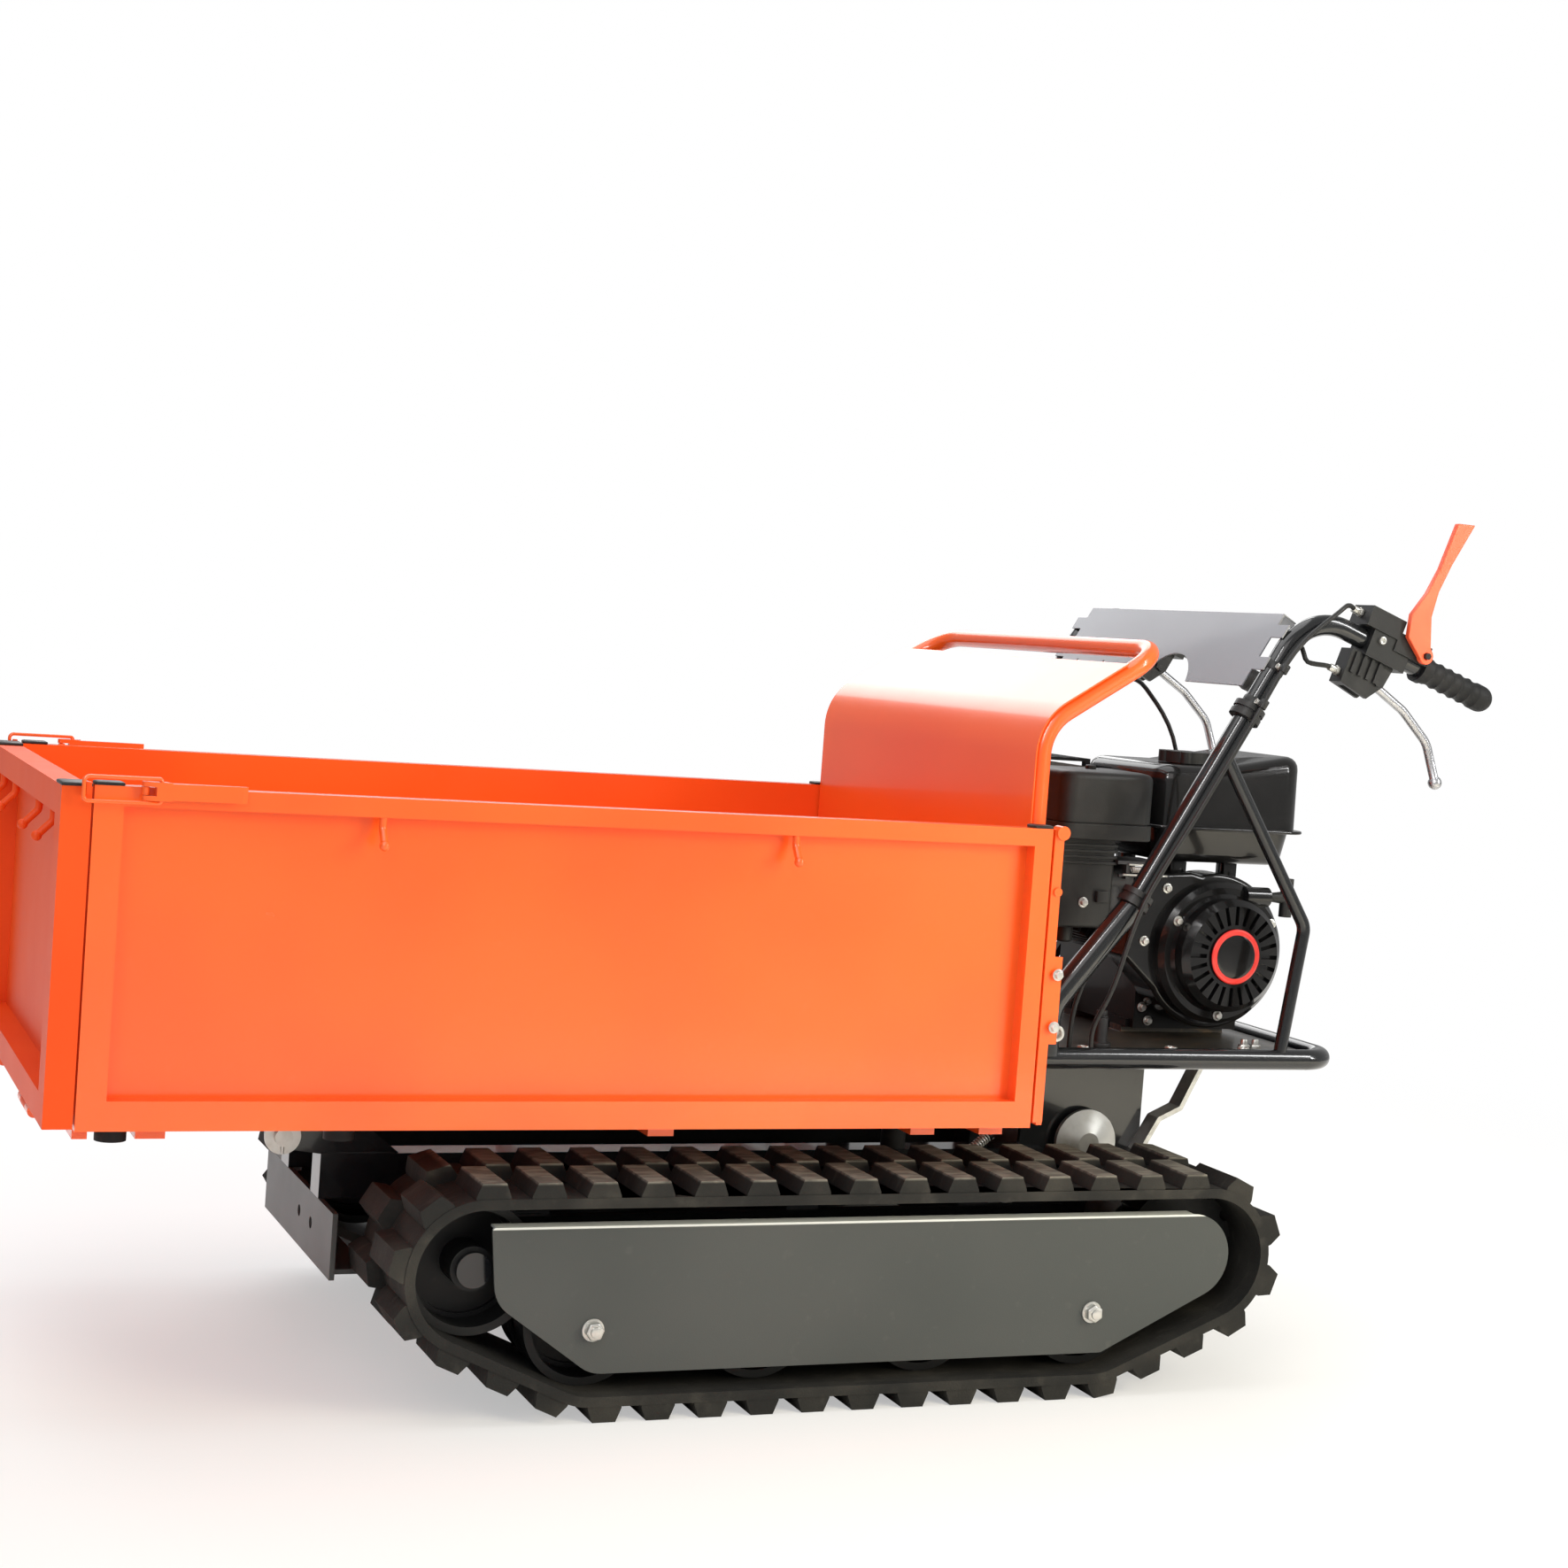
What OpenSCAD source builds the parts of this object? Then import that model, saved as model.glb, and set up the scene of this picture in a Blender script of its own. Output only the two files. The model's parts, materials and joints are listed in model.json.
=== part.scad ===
// Tracked power carrier: a walk-behind mini dumper with a tipping load bed on two rubber tracks.
// Millimetres. +X runs to the operator's end, +Y to the machine's right-hand track, +Z up.
// The origin is on the ground, under the middle of the whole machine.

/* [Tracks] */
// Width of each rubber track
track_w = 180; // [150:5:200]
// Distance between the middles of the two tracks
track_gauge = 506; // [490:2:540]
// Thickness of the rubber belt without its lugs
belt_t = 11; // [8:0.5:14]
// Height of the tread lugs
lug_h = 17; // [10:0.5:20]
// Length of a lug along the belt, at its foot
lug_l = 38; // [28:1:44]
// Number of lugs in each of the two rows
lug_count = 38; // [34:1:40]
// Radius of the road wheels
wheel_r = 68.5; // [62:0.5:70]
// Width of the road wheels, idler and sprocket
wheel_w = 96; // [80:2:110]
// Number of road wheels a side
wheel_count = 4; // [4]
// Distance from the last road wheel axle to the sprocket axle
wheel_rear = 143; // [136:1:150]
// Distance from the idler axle to the first road wheel axle
wheel_inset = 129; // [126:1:140]
// Radius of the front idler and of the rear sprocket
end_r = 71.5; // [66:0.5:74]
// Distance between the idler axle and the sprocket axle
track_base = 878; // [870:1:900]
// Height of the end axles above the road wheel axles
end_lift = 62; // [56:1:70]
// Gap between a wheel and the belt that runs on it
belt_gap = 0.5; // [0.3:0.1:0.8]
// Radius of the wheel axles
axle_r = 12; // [10:0.5:14]
// Thickness of the track frame beam
beam_t = 12; // [8:1:14]
// Thickness of the side guard plates
guard_t = 3; // [2:0.5:4]
// Height of the side guard plates
guard_h = 160; // [140:2:170]

/* [Chassis] */
// Height of the chassis rails above the road wheel axles
rail_lift = 93; // [90:1:110]
// Width of a chassis rail
rail_w = 40; // [30:1:46]
// Height of a chassis rail
rail_h = 50; // [40:1:60]
// Distance from the machine's middle to the middle of a rail
rail_y = 80; // [76:1:84]
// Wall of the rails and cross tubes
rail_wall = 4; // [3:0.5:5]
// Side of the square cross tubes
cross_s = 40; // [30:1:44]
// Radius of the tipping hinge pin
tip_pin_r = 10; // [8:0.5:12]
// Height of the tipping hinge above the rails
tip_lift = 22; // [20:1:28]
// Distance of the tipping hinge ahead of the idler axle
tip_lead = 168; // [160:1:175]
// Width of the front cross beam
beam_w = 350; // [320:2:370]
// Height of the front cross beam
front_h = 73; // [60:1:80]
// Spacing of the two holes in the front cross beam
front_hole_pitch = 60; // [40:1:80]
// Radius of the two holes in the front cross beam
front_hole_r = 6.5; // [4:0.5:8]

/* [Load bed] */
// Length of the side panels
bed_l = 1057; // [1000:1:1100]
// Outer width of the bed
bed_w = 653; // [640:1:670]
// Height of the side panels
bed_h = 341; // [300:1:360]
// Front end of the side panels, from the machine's middle
bed_front_x = -824; // [-860:1:-800]
// Height of the bed's lower edge above the tipping hinge
bed_lift = 50; // [46:1:60]
// Depth of the side panel frames
panel_t = 22; // [16:1:26]
// Thickness of the bed's sheet metal
sheet_t = 2.5; // [1.5:0.5:4]
// Height of a side panel's top rail
rail_top_h = 20; // [14:1:30]
// Height of a side panel's bottom rail
rail_bottom_h = 30; // [24:1:40]
// Width of a side panel's front post
post_front_w = 29; // [20:1:36]
// Width of a side panel's rear post
post_rear_w = 22; // [16:1:30]
// Depth of the tailgate frame
gate_t = 29; // [22:1:34]
// Gap between the tailgate and the side panels
gate_gap = 2; // [1:0.5:4]
// Radius of the drop hinge knuckles
knuckle_r = 7; // [6:0.5:7.5]
// Radius of the drop hinge pins
knuckle_pin_r = 4; // [3:0.5:5]
// Distance of a drop hinge axis inside its panel
knuckle_set = 8; // [8:0.5:10]
// Thickness of the bed floor
floor_t = 4; // [3:0.5:5]
// Radius of the rope hook rods
hook_r = 4; // [3:0.5:5]

/* [Hoop and engine guard] */
// Radius of the hoop tube
hoop_r = 11; // [9:0.5:12]
// Distance from the machine's middle to a hoop post
hoop_y = 291; // [284:1:291]
// Height of the hoop bar above the bed's top edge
hoop_rise = 211; // [190:1:230]
// Height above the bed's top edge at which a hoop post turns back
hoop_bend_rise = 115; // [100:1:125]
// Distance of the hoop bar behind its posts
hoop_back = 151; // [140:1:160]
// Distance of the hoop posts ahead of the panels' rear ends
hoop_inset = 4; // [0:1:6]
// Length of the guard sheet along the slope, past the bend
guard_run = 92; // [70:1:105]

/* [Latches] */
// Radius of the latch wire
wire_r = 2; // [1.5:0.25:2.5]
// Half of the height between the latch wires
wire_z = 12; // [11.5:0.5:14]
// Length of the latch lever's handle
latch_l = 94; // [80:1:110]
// Distance of the latch pivot behind the panel's front end
latch_back = 48; // [44:1:56]
// Gap between the latch wire and its keeper
keeper_gap = 1; // [0.4:0.1:1.5]

/* [Deck] */
// Gap between the bed's rear end and the deck
deck_gap = 29; // [24:1:40]
// Length of the deck rail, to the middle of its rear bar
deck_l = 423; // [410:1:450]
// Height of the deck rail's middle above the chassis rails
deck_lift = 140; // [136:1:150]
// Distance from the machine's middle to a deck rail tube
deck_y = 255; // [250:1:262]
// Radius of the deck rail tube
deck_r = 12.5; // [10:0.5:14]
// Thickness of the deck plate
deck_t = 6; // [4:0.5:8]
// Height of the strips that the engine stands on
riser_h = 8; // [6:1:12]

/* [Handlebars] */
// Radius of the handlebar tube
bar_r = 12.5; // [11:0.5:13]
// Radius of the socket tube at the foot of a handlebar
socket_r = 15; // [14:0.5:17]
// Height of the handlebar's corner above the deck rail
bar_rise = 545; // [520:1:560]
// Distance of the handlebar's corner behind its foot
bar_back = 310; // [295:1:325]
// Length of the handlebar behind its corner, level distance
bar_reach = 276; // [265:1:290]
// Slope of the grips, downwards to the rear
grip_drop = 19; // [15:1:22]
// Radius of the stays behind the handlebars
stay_r = 8; // [6:0.5:9]
// Radius of the rubber grips
grip_r = 16.5; // [15:0.5:18]
// Length of the rubber grips
grip_l = 118; // [105:1:125]
// Height of the console sheet along its slope
console_h = 104; // [90:1:110]
// Thickness of the console sheet
console_t = 2; // [1.5:0.5:3]

/* [Engine] */
// Height of the crankshaft above the engine's feet
crank_h = 106; // [104:1:112]
// Distance of the crankshaft behind the deck's front edge
crank_back = 308; // [300:1:315]
// Radius of the round fan cover
fan_r = 97; // [90:1:100]
// Radius of the recoil starter's face
recoil_r = 70; // [64:1:74]
// Number of slots in the recoil starter's face
slot_count = 24; // [12:1:30]
// Length of the fuel tank
tank_l = 226; // [200:1:240]
// Width of the fuel tank
tank_w = 220; // [200:2:230]
// Height of the fuel tank
tank_h = 122; // [100:1:130]
// Radius of the fuel cap
cap_r = 34; // [28:0.5:38]
// Radius of the fuel tank's filler neck
neck_r = 24; // [20:0.5:26]
// Number of cooling fins on the cylinder
fin_count = 7; // [4:1:9]

/* [Drive] */
// Pitch radius of the engine pulley
engine_pulley_r = 37; // [32:1:42]
// Pitch radius of the gearbox pulley
gear_pulley_r = 60; // [54:1:62]
// Width of the drive belt
vbelt_w = 12; // [10:0.5:14]
// Radius of the brake disc on the gearbox
disc_r = 42; // [34:1:46]
// Radius of the gearbox input shaft
input_r = 12; // [10:0.5:14]
// Radius of the sprocket shafts
shaft_r = 15; // [12:0.5:18]

/* [Hidden] */
$fn = 48;

// Radial clearance of every running fit
run_fit = 0.05;
// Clearance between faces that pass each other
side_gap = 0.5;
// Overshoot of a cut past the face that it opens
cut = 1;

// Stations along the machine
bed_rear_x = bed_front_x + bed_l;
deck_x = bed_rear_x + deck_gap;
deck_rear_x = deck_x + deck_l;
crank_x = deck_x + crank_back;
input_x = deck_x + 174;
sprocket_x = deck_x + 212;
idler_x = sprocket_x - track_base;
wheel_x0 = idler_x + wheel_inset;
wheel_pitch = (track_base - wheel_inset - wheel_rear) / (wheel_count - 1);
front_x = idler_x - 122;
tip_x = idler_x - tip_lead;
plate_x0 = input_x - 86;
plate_x1 = sprocket_x + 46;
gate_in_x = bed_front_x - gate_gap;
gate_out_x = gate_in_x - gate_t;
gate_axis_x = gate_out_x + knuckle_r + 1;
tray_x0 = bed_front_x + 4;
hoop_x = bed_rear_x - hoop_inset;

// Heights
wheel_z = lug_h + belt_t + belt_gap + wheel_r;
end_z = wheel_z + end_lift;
rail_z = wheel_z + rail_lift;
rail_top = rail_z + rail_h;
tip_z = rail_top + tip_lift;
bed_z = tip_z + bed_lift;
bed_top = bed_z + bed_h;
hinge_z = bed_z + knuckle_r;
gate_z = bed_z + 2;
gate_axis_z = gate_z - side_gap - knuckle_r;
floor_z = hinge_z - floor_t;
deck_z = rail_top + deck_lift;
deck_top = deck_z + deck_t / 2;
base_z = deck_top + riser_h;
crank_z = base_z + crank_h;
input_z = end_z + 88;

// Widths
track_y = track_gauge / 2;
track_in_y = track_y - track_w / 2;
beam_y = track_in_y + 7;
plate_y = rail_y + 4;
plate_t = 6;
boss_r = shaft_r + 9;
panel_y = bed_w / 2;
panel_in_y = panel_y - panel_t;
hinge_y = panel_in_y - knuckle_set;
floor_y = hinge_y - knuckle_r;

// Handlebar line in its own upright plane, as [x, z]
bar_y = deck_y;
bar_foot_x = deck_x + 23;
bar_foot_z = deck_z + deck_r;
bar_knee = [bar_foot_x, bar_foot_z + 48];
bar_joint = [bar_foot_x + 98, deck_z + 180];
bar_top = [bar_foot_x + bar_back, deck_z + bar_rise];
bar_end = [bar_top[0] + bar_reach, bar_top[1] - bar_reach * tan(grip_drop)];
bar_dir = unit(bar_top - bar_joint);
bar_slope = atan2(bar_dir[1], bar_dir[0]);
grip_dir = unit(bar_end - bar_top);
stay_top = bar_joint + 0.52 * (bar_top - bar_joint);
stay_knee = [deck_x + 366, deck_z + 163];
stay_foot = [deck_x + 345, deck_z + 4];
// Middle of the lever clamps on the sloping end of the handlebar
clamp_at = bar_top + 116 * grip_dir;

// Vector and outline helpers
function unit(v) = v / norm(v);
function sum(list, i = 0) = i < len(list) ? list[i] + sum(list, i + 1) : 0;

// Outer normal of the line that touches two circles [x, y, r], walked anticlockwise
function touch_normal(a, b) =
    let (d = [b[0] - a[0], b[1] - a[1]], l = norm(d), e = d / l, s = (a[2] - b[2]) / l)
    e * s + [e[1], -e[0]] * sqrt(1 - s * s);
function touch_points(c) = [for (i = [0:len(c) - 1])
    let (a = c[i], b = c[(i + 1) % len(c)], n = touch_normal(a, b))
    each [[a[0] + a[2] * n[0], a[1] + a[2] * n[1]], [b[0] + b[2] * n[0], b[1] + b[2] * n[1]]]];

// Flat shape that wraps circles, given anticlockwise as [x, y, r], with true arcs
module wrap(c, grow = 0) {
    g = [for (i = c) [i[0], i[1], i[2] + grow]];
    polygon(touch_points(g));
    for (i = g) translate([i[0], i[1]]) circle(r = i[2]);
}

// Stands a flat X-Z shape up between two Y values
module slab(y0, y1) translate([0, y1, 0]) rotate([90, 0, 0]) linear_extrude(y1 - y0) children();

// Round bar along Y at [x, z]
module pin_y(x, z, r, y0, y1) translate([x, y1, z]) rotate([90, 0, 0]) cylinder(r = r, h = y1 - y0);

// Solid of revolution about a line along Y at [x, z], from a flat [radius, y] shape
module spin_y(x, z) translate([x, 0, z]) rotate([-90, 0, 0]) rotate_extrude() children();

// Round bar between two points
module bar(p, q, r) {
    d = q - p;
    translate(p) rotate([0, acos(d[2] / norm(d)), atan2(d[1], d[0])]) cylinder(r = r, h = norm(d));
}

// Round bar through points, with true round bends of the given radii at the inner points.
// A bend is a hair thicker than the straights, which reach a little way into it.
bend_swell = 0.05;
bend_lap = 0.3;
function turn(p, i) = acos(unit(p[i - 1] - p[i]) * unit(p[i + 1] - p[i]));
function inner(p, i) = i > 0 && i < len(p) - 1;
function lead(p, i, bends) = inner(p, i) ? bends[i - 1] / tan(turn(p, i) / 2) : 0;
function reach(p, i, bends) = inner(p, i) ? lead(p, i, bends) - bend_lap : 0;
module pipe(p, r, bends) {
    for (i = [0:len(p) - 2]) {
        d = unit(p[i + 1] - p[i]);
        bar(p[i] + d * reach(p, i, bends), p[i + 1] - d * reach(p, i + 1, bends), r);
    }
    for (i = [1:1:len(p) - 2]) {
        u = unit(p[i - 1] - p[i]);
        v = unit(p[i + 1] - p[i]);
        c = p[i] + unit(u + v) * bends[i - 1] / sin(turn(p, i) / 2);
        a = unit(p[i] + u * lead(p, i, bends) - c);
        n = unit(cross(a, -u));
        b = cross(n, a);
        multmatrix([[a[0], b[0], n[0], c[0]], [a[1], b[1], n[1], c[1]], [a[2], b[2], n[2], c[2]], [0, 0, 0, 1]])
            rotate_extrude(angle = 180 - turn(p, i)) translate([bends[i - 1], 0]) circle(r = r + bend_swell);
    }
}

// Points of an upright X-Z line, set at one Y
function at_y(p, y) = [p[0], y, p[1]];
function line_at_y(list, y) = [for (p = list) at_y(p, y)];

// Tube swept along points as one closed skin, for cables and springs
function ring(p, t, up, r, sides) =
    let (s = unit(cross(t, up)), w = cross(s, t))
    [for (k = [0:sides - 1]) p + r * (cos(360 * k / sides) * s + sin(360 * k / sides) * w)];
function heading(p, i) = unit(p[min(i + 1, len(p) - 1)] - p[max(i - 1, 0)]);
module sweep(p, r, sides, up = [0, 1, 0]) {
    n = len(p);
    pts = [for (i = [0:n - 1]) each ring(p[i], heading(p, i), up, r, sides)];
    skin = [for (i = [0:n - 2], k = [0:sides - 1])
        let (a = i * sides + k, b = i * sides + (k + 1) % sides)
        each [[a, a + sides, b + sides], [a, b + sides, b]]];
    foot = [for (k = [1:sides - 2]) [0, k, k + 1]];
    head = [for (k = [1:sides - 2]) [(n - 1) * sides, (n - 1) * sides + k + 1, (n - 1) * sides + k]];
    polyhedron(points = pts, faces = concat(skin, foot, head));
}

// Smooth line through hand-picked points
function blend(a, b, c, d, t) = 0.5 * (2 * b + (c - a) * t + (2 * a - 5 * b + 4 * c - d) * t * t
    + (3 * b - a - 3 * c + d) * t * t * t);
function smooth(p, steps) = [for (i = [0:len(p) - 2], k = [0:steps - 1])
    blend(p[max(i - 1, 0)], p[i], p[i + 1], p[min(i + 2, len(p) - 1)], k / steps), p[len(p) - 1]];

// The right-hand copy of a left-hand piece
module right() mirror([0, 1, 0]) children();
module both() {
    children();
    right() children();
}

// Colours as they look in daylight
paint = "#f4622d";
anthracite = "#4a4f52";
tube_black = "#2b3033";
rubber_dark = "#2a2826";
plastic_black = "#1d1e20";
steel = "#c3c6c9";
casting = "#8b8d8f";

// TRACKS
// Belt corners, anticlockwise: first wheel, last wheel, sprocket, idler
wheel_x1 = wheel_x0 + (wheel_count - 1) * wheel_pitch;
belt_in = [[wheel_x0, wheel_z, wheel_r + belt_gap], [wheel_x1, wheel_z, wheel_r + belt_gap],
    [sprocket_x, end_z, end_r + belt_gap], [idler_x, end_z, end_r + belt_gap]];
belt_out = [for (c = belt_in) [c[0], c[1], c[2] + belt_t]];
belt_n = [for (i = [0:3]) touch_normal(belt_out[i], belt_out[(i + 1) % 4])];
belt_pts = touch_points(belt_out);
belt_run = [for (i = [0:3]) norm(belt_pts[2 * i + 1] - belt_pts[2 * i])];
belt_arc = [for (i = [0:3]) let (n = belt_n[i], m = belt_n[(i + 1) % 4]) acos(n * m)];
belt_arc_l = [for (i = [0:3]) belt_arc[i] * PI / 180 * belt_out[(i + 1) % 4][2]];
belt_l = sum(belt_run) + sum(belt_arc_l);

// Place and outward angle on the belt's outside, at distance s from the first straight's start
function belt_at(s, i = 0) =
    s < belt_run[i] ?
        let (p = belt_pts[2 * i] + unit(belt_pts[2 * i + 1] - belt_pts[2 * i]) * s)
        [p[0], p[1], atan2(belt_n[i][1], belt_n[i][0])]
    : s < belt_run[i] + belt_arc_l[i] || i == 3 ?
        let (c = belt_out[(i + 1) % 4],
            a = atan2(belt_n[i][1], belt_n[i][0]) + (s - belt_run[i]) / c[2] * 180 / PI)
        [c[0] + c[2] * cos(a), c[1] + c[2] * sin(a), a]
    : belt_at(s - belt_run[i] - belt_arc_l[i], i + 1);

// One lug's outline, standing on the belt and sunk a little into it
lug_sink = 3;
lug_top_l = lug_l - 12;
module lug() polygon([[-lug_l / 2, -lug_sink], [lug_l / 2, -lug_sink], [lug_l / 2, 2],
    [lug_top_l / 2, lug_h], [-lug_top_l / 2, lug_h], [-lug_l / 2, 2]]);

// The belt between two Y values: straights, and bends a hair thicker and narrower that the straights reach into
module belt_ring(y0, y1) for (i = [0:3]) {
    e = unit(belt_pts[2 * i + 1] - belt_pts[2 * i]) * bend_lap;
    p = belt_pts[2 * i] - e;
    q = belt_pts[2 * i + 1] + e;
    slab(y0, y1) polygon([p, q, q - belt_t * belt_n[i], p - belt_t * belt_n[i]]);
    c = belt_in[(i + 1) % 4];
    translate([c[0], 0, c[1]]) rotate([90, 0, 0]) rotate(atan2(belt_n[i][1], belt_n[i][0]))
        rotate_extrude(angle = belt_arc[i])
            translate([c[2] - bend_swell, -y1 + bend_swell])
                square([belt_t + 2 * bend_swell, y1 - y0 - 2 * bend_swell]);
}

// A row of lugs between two Y values, moved along by a share of the pitch
module lug_row(y0, y1, phase) for (k = [0:lug_count - 1]) {
    at = belt_at((k + phase) * belt_l / lug_count);
    slab(y0, y1) translate([at[0], at[1]]) rotate(at[2] - 90) lug();
}

lug_row_w = track_w * 0.47;
lug_inset = 1;
module track_half() {
    y0 = -track_y - track_w / 2;
    y1 = -track_y + track_w / 2;
    belt_ring(y0, y1);
    lug_row(y0 + lug_inset, y0 + lug_row_w, 0.25);
    lug_row(y1 - lug_row_w, y1 - lug_inset, 0.75);
}
module track_left() color(rubber_dark) track_half();
module track_right() color(rubber_dark) right() track_half();

// Road wheel and idler section: hub, web and rim with a middle groove
rim_t = 9;
hub_r = 24;
web_t = 10;
groove_w = 28;
groove_d = 5;
module wheel_section(r) {
    w = wheel_w / 2;
    translate([axle_r + run_fit, -w]) square([hub_r - axle_r - run_fit, wheel_w]);
    translate([hub_r - cut, -web_t / 2]) square([r - rim_t - hub_r + 2 * cut, web_t]);
    difference() {
        translate([r - rim_t - groove_d, -w]) square([rim_t + groove_d, wheel_w]);
        translate([r - groove_d, -groove_w / 2]) square([groove_d + cut, groove_w]);
        translate([r - rim_t - groove_d - cut, web_t]) square([groove_d + cut, w]);
        translate([r - rim_t - groove_d - cut, -web_t - w]) square([groove_d + cut, w]);
    }
}
module wheel_at(x, z, r) translate([0, -track_y, 0]) spin_y(x, z) wheel_section(r);
module road_wheel(i) color(anthracite) wheel_at(wheel_x0 + i * wheel_pitch, wheel_z, wheel_r);
module idler() color(anthracite) wheel_at(idler_x, end_z, end_r);

// Sprocket on its shaft, with round gaps between its teeth
tooth_count = 12;
tooth_gap_r = 9;
sprocket_w = 44;
shaft_in_y = 40;
module sprocket() color(anthracite) difference() {
    union() {
        pin_y(sprocket_x, end_z, end_r, -track_y - sprocket_w / 2, -track_y + sprocket_w / 2);
        pin_y(sprocket_x, end_z, 34, -track_y - wheel_w / 2, -track_y + wheel_w / 2);
        pin_y(sprocket_x, end_z, shaft_r, -track_y - wheel_w / 2, -shaft_in_y);
    }
    for (k = [0:tooth_count - 1]) {
        a = 360 * k / tooth_count;
        pin_y(sprocket_x + (end_r + 2) * cos(a), end_z + (end_r + 2) * sin(a), tooth_gap_r,
            -track_y - sprocket_w / 2 - cut, -track_y + sprocket_w / 2 + cut);
    }
}
module sprocket_left() sprocket();
module sprocket_right() right() sprocket();
module idler_left() idler();
module idler_right() right() idler();
module road_wheel_left_1() road_wheel(0);
module road_wheel_left_2() road_wheel(1);
module road_wheel_left_3() road_wheel(2);
module road_wheel_left_4() road_wheel(3);
module road_wheel_right_1() right() road_wheel(0);
module road_wheel_right_2() right() road_wheel(1);
module road_wheel_right_3() right() road_wheel(2);
module road_wheel_right_4() right() road_wheel(3);

// Track frame: a beam inside the track with the fixed axles and their shoulders
guard_y = track_y + track_w / 2 - 14;
retainer_r = 19;
axle_end_y = track_y + wheel_w / 2 + 8;
stud_r = 8;
module fixed_axle(x, z) {
    pin_y(x, z, axle_r, -axle_end_y, -beam_y);
    pin_y(x, z, retainer_r, -track_y + wheel_w / 2 + side_gap, -beam_y);
    pin_y(x, z, retainer_r, -axle_end_y, -track_y - wheel_w / 2 - side_gap);
}
module track_frame() {
    slab(-beam_y - beam_t, -beam_y) difference() {
        wrap([[wheel_x0, wheel_z, 26], [wheel_x1, wheel_z, 26], [wheel_x1 + 30, end_z + 4, 26],
            [idler_x, end_z, 26]]);
        for (i = [0:wheel_count - 2])
            translate([wheel_x0 + (i + 0.5) * wheel_pitch, (wheel_z + end_z) / 2 + 4]) circle(r = 24);
    }
    fixed_axle(idler_x, end_z);
    for (i = [0:wheel_count - 1]) fixed_axle(wheel_x0 + i * wheel_pitch, wheel_z);
    // Studs that carry the side guard, on the first and last axles
    for (x = [wheel_x0, wheel_x1]) {
        pin_y(x, wheel_z, retainer_r, -guard_y + guard_t, -axle_end_y);
        pin_y(x, wheel_z, stud_r, -guard_y - 8, -axle_end_y);
    }
}
module track_frames() color(tube_black) both() track_frame();

// Side guard plate with a lip along its top edge
guard_z1 = end_z + 50;
guard_z0 = guard_z1 - guard_h;
guard_lip = 20;
module track_guard() difference() {
    union() {
        slab(-guard_y, -guard_y + guard_t)
            wrap([[wheel_x0 + 13, guard_z0 + 40, 40], [wheel_x1 + 14, guard_z0 + 10, 10],
                [sprocket_x - 14, end_z, guard_z1 - end_z], [idler_x + 15, guard_z1 - 4, 4],
                [idler_x + 57, end_z - 9, 40]]);
        translate([idler_x + 15, -guard_y, guard_z1 - guard_t])
            cube([track_base - 29, guard_lip, guard_t]);
    }
    for (x = [wheel_x0, wheel_x1]) pin_y(x, wheel_z, stud_r + run_fit, -guard_y - cut, -guard_y + guard_t + cut);
}
module track_guards() color(anthracite) both() track_guard();

// CHASSIS
module square_tube(p, size, axis) difference() {
    translate(p) cube(size);
    shift = [for (i = [0:2]) i == axis ? -cut : rail_wall];
    inner = [for (i = [0:2]) i == axis ? size[i] + 2 * cut : size[i] - 2 * rail_wall];
    translate(p + shift) cube(inner);
}

// Ear that carries the tipping pin: its eye and the flat shape that joins it to its foot
tip_eye_r = tip_pin_r + 6;
module tip_ear(y0, y1) difference() {
    slab(y0, y1) {
        translate([tip_x, tip_z]) circle(r = tip_eye_r);
        children();
    }
    pin_y(tip_x, tip_z, tip_pin_r + run_fit, y0 - cut, y1 + cut);
}

rail_x0 = front_x;
tip_ear_t = 8;
chassis_ear_y = rail_y + 8;
cross_x = [wheel_x0 - 25, wheel_x0 + 1.5 * wheel_pitch, deck_x - 12];
front_post_x = deck_x + 13;
spring_peg = [cross_x[2] - 15, -track_in_y + 23];
module chassis_side() {
    square_tube([rail_x0, -rail_y - rail_w / 2, rail_z], [plate_x0 + 30 - rail_x0, rail_w, rail_h], 0);
    translate([rail_x0, -rail_y - rail_w / 2 + cut, rail_z + cut])
        cube([rail_wall, rail_w - 2 * cut, rail_h - 2 * cut]);
    // Arm that reaches forward from the rail's top to the tipping pin
    tip_ear(-chassis_ear_y - tip_ear_t, -chassis_ear_y)
        polygon([[tip_x, tip_z - tip_eye_r], [rail_x0, rail_top - cut], [rail_x0 + 90, rail_top - cut],
            [rail_x0 + 40, tip_z + tip_eye_r], [tip_x, tip_z + tip_eye_r]]);
    // Upright that carries the deck's front edge
    translate([front_post_x, -rail_y - rail_w / 2, rail_top])
        cube([25, rail_w, deck_z - deck_t / 2 - rail_top]);
    // Gearbox side plate, up to the deck
    difference() {
        translate([plate_x0, -plate_y - plate_t, end_z - 30])
            cube([plate_x1 - plate_x0, plate_t, deck_z - deck_t / 2 - end_z + 30]);
        pin_y(input_x, input_z, input_r + 4, -plate_y - plate_t - cut, -plate_y + cut);
        pin_y(sprocket_x, end_z, boss_r + side_gap, -plate_y - plate_t - cut, -plate_y + cut);
    }
}
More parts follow.
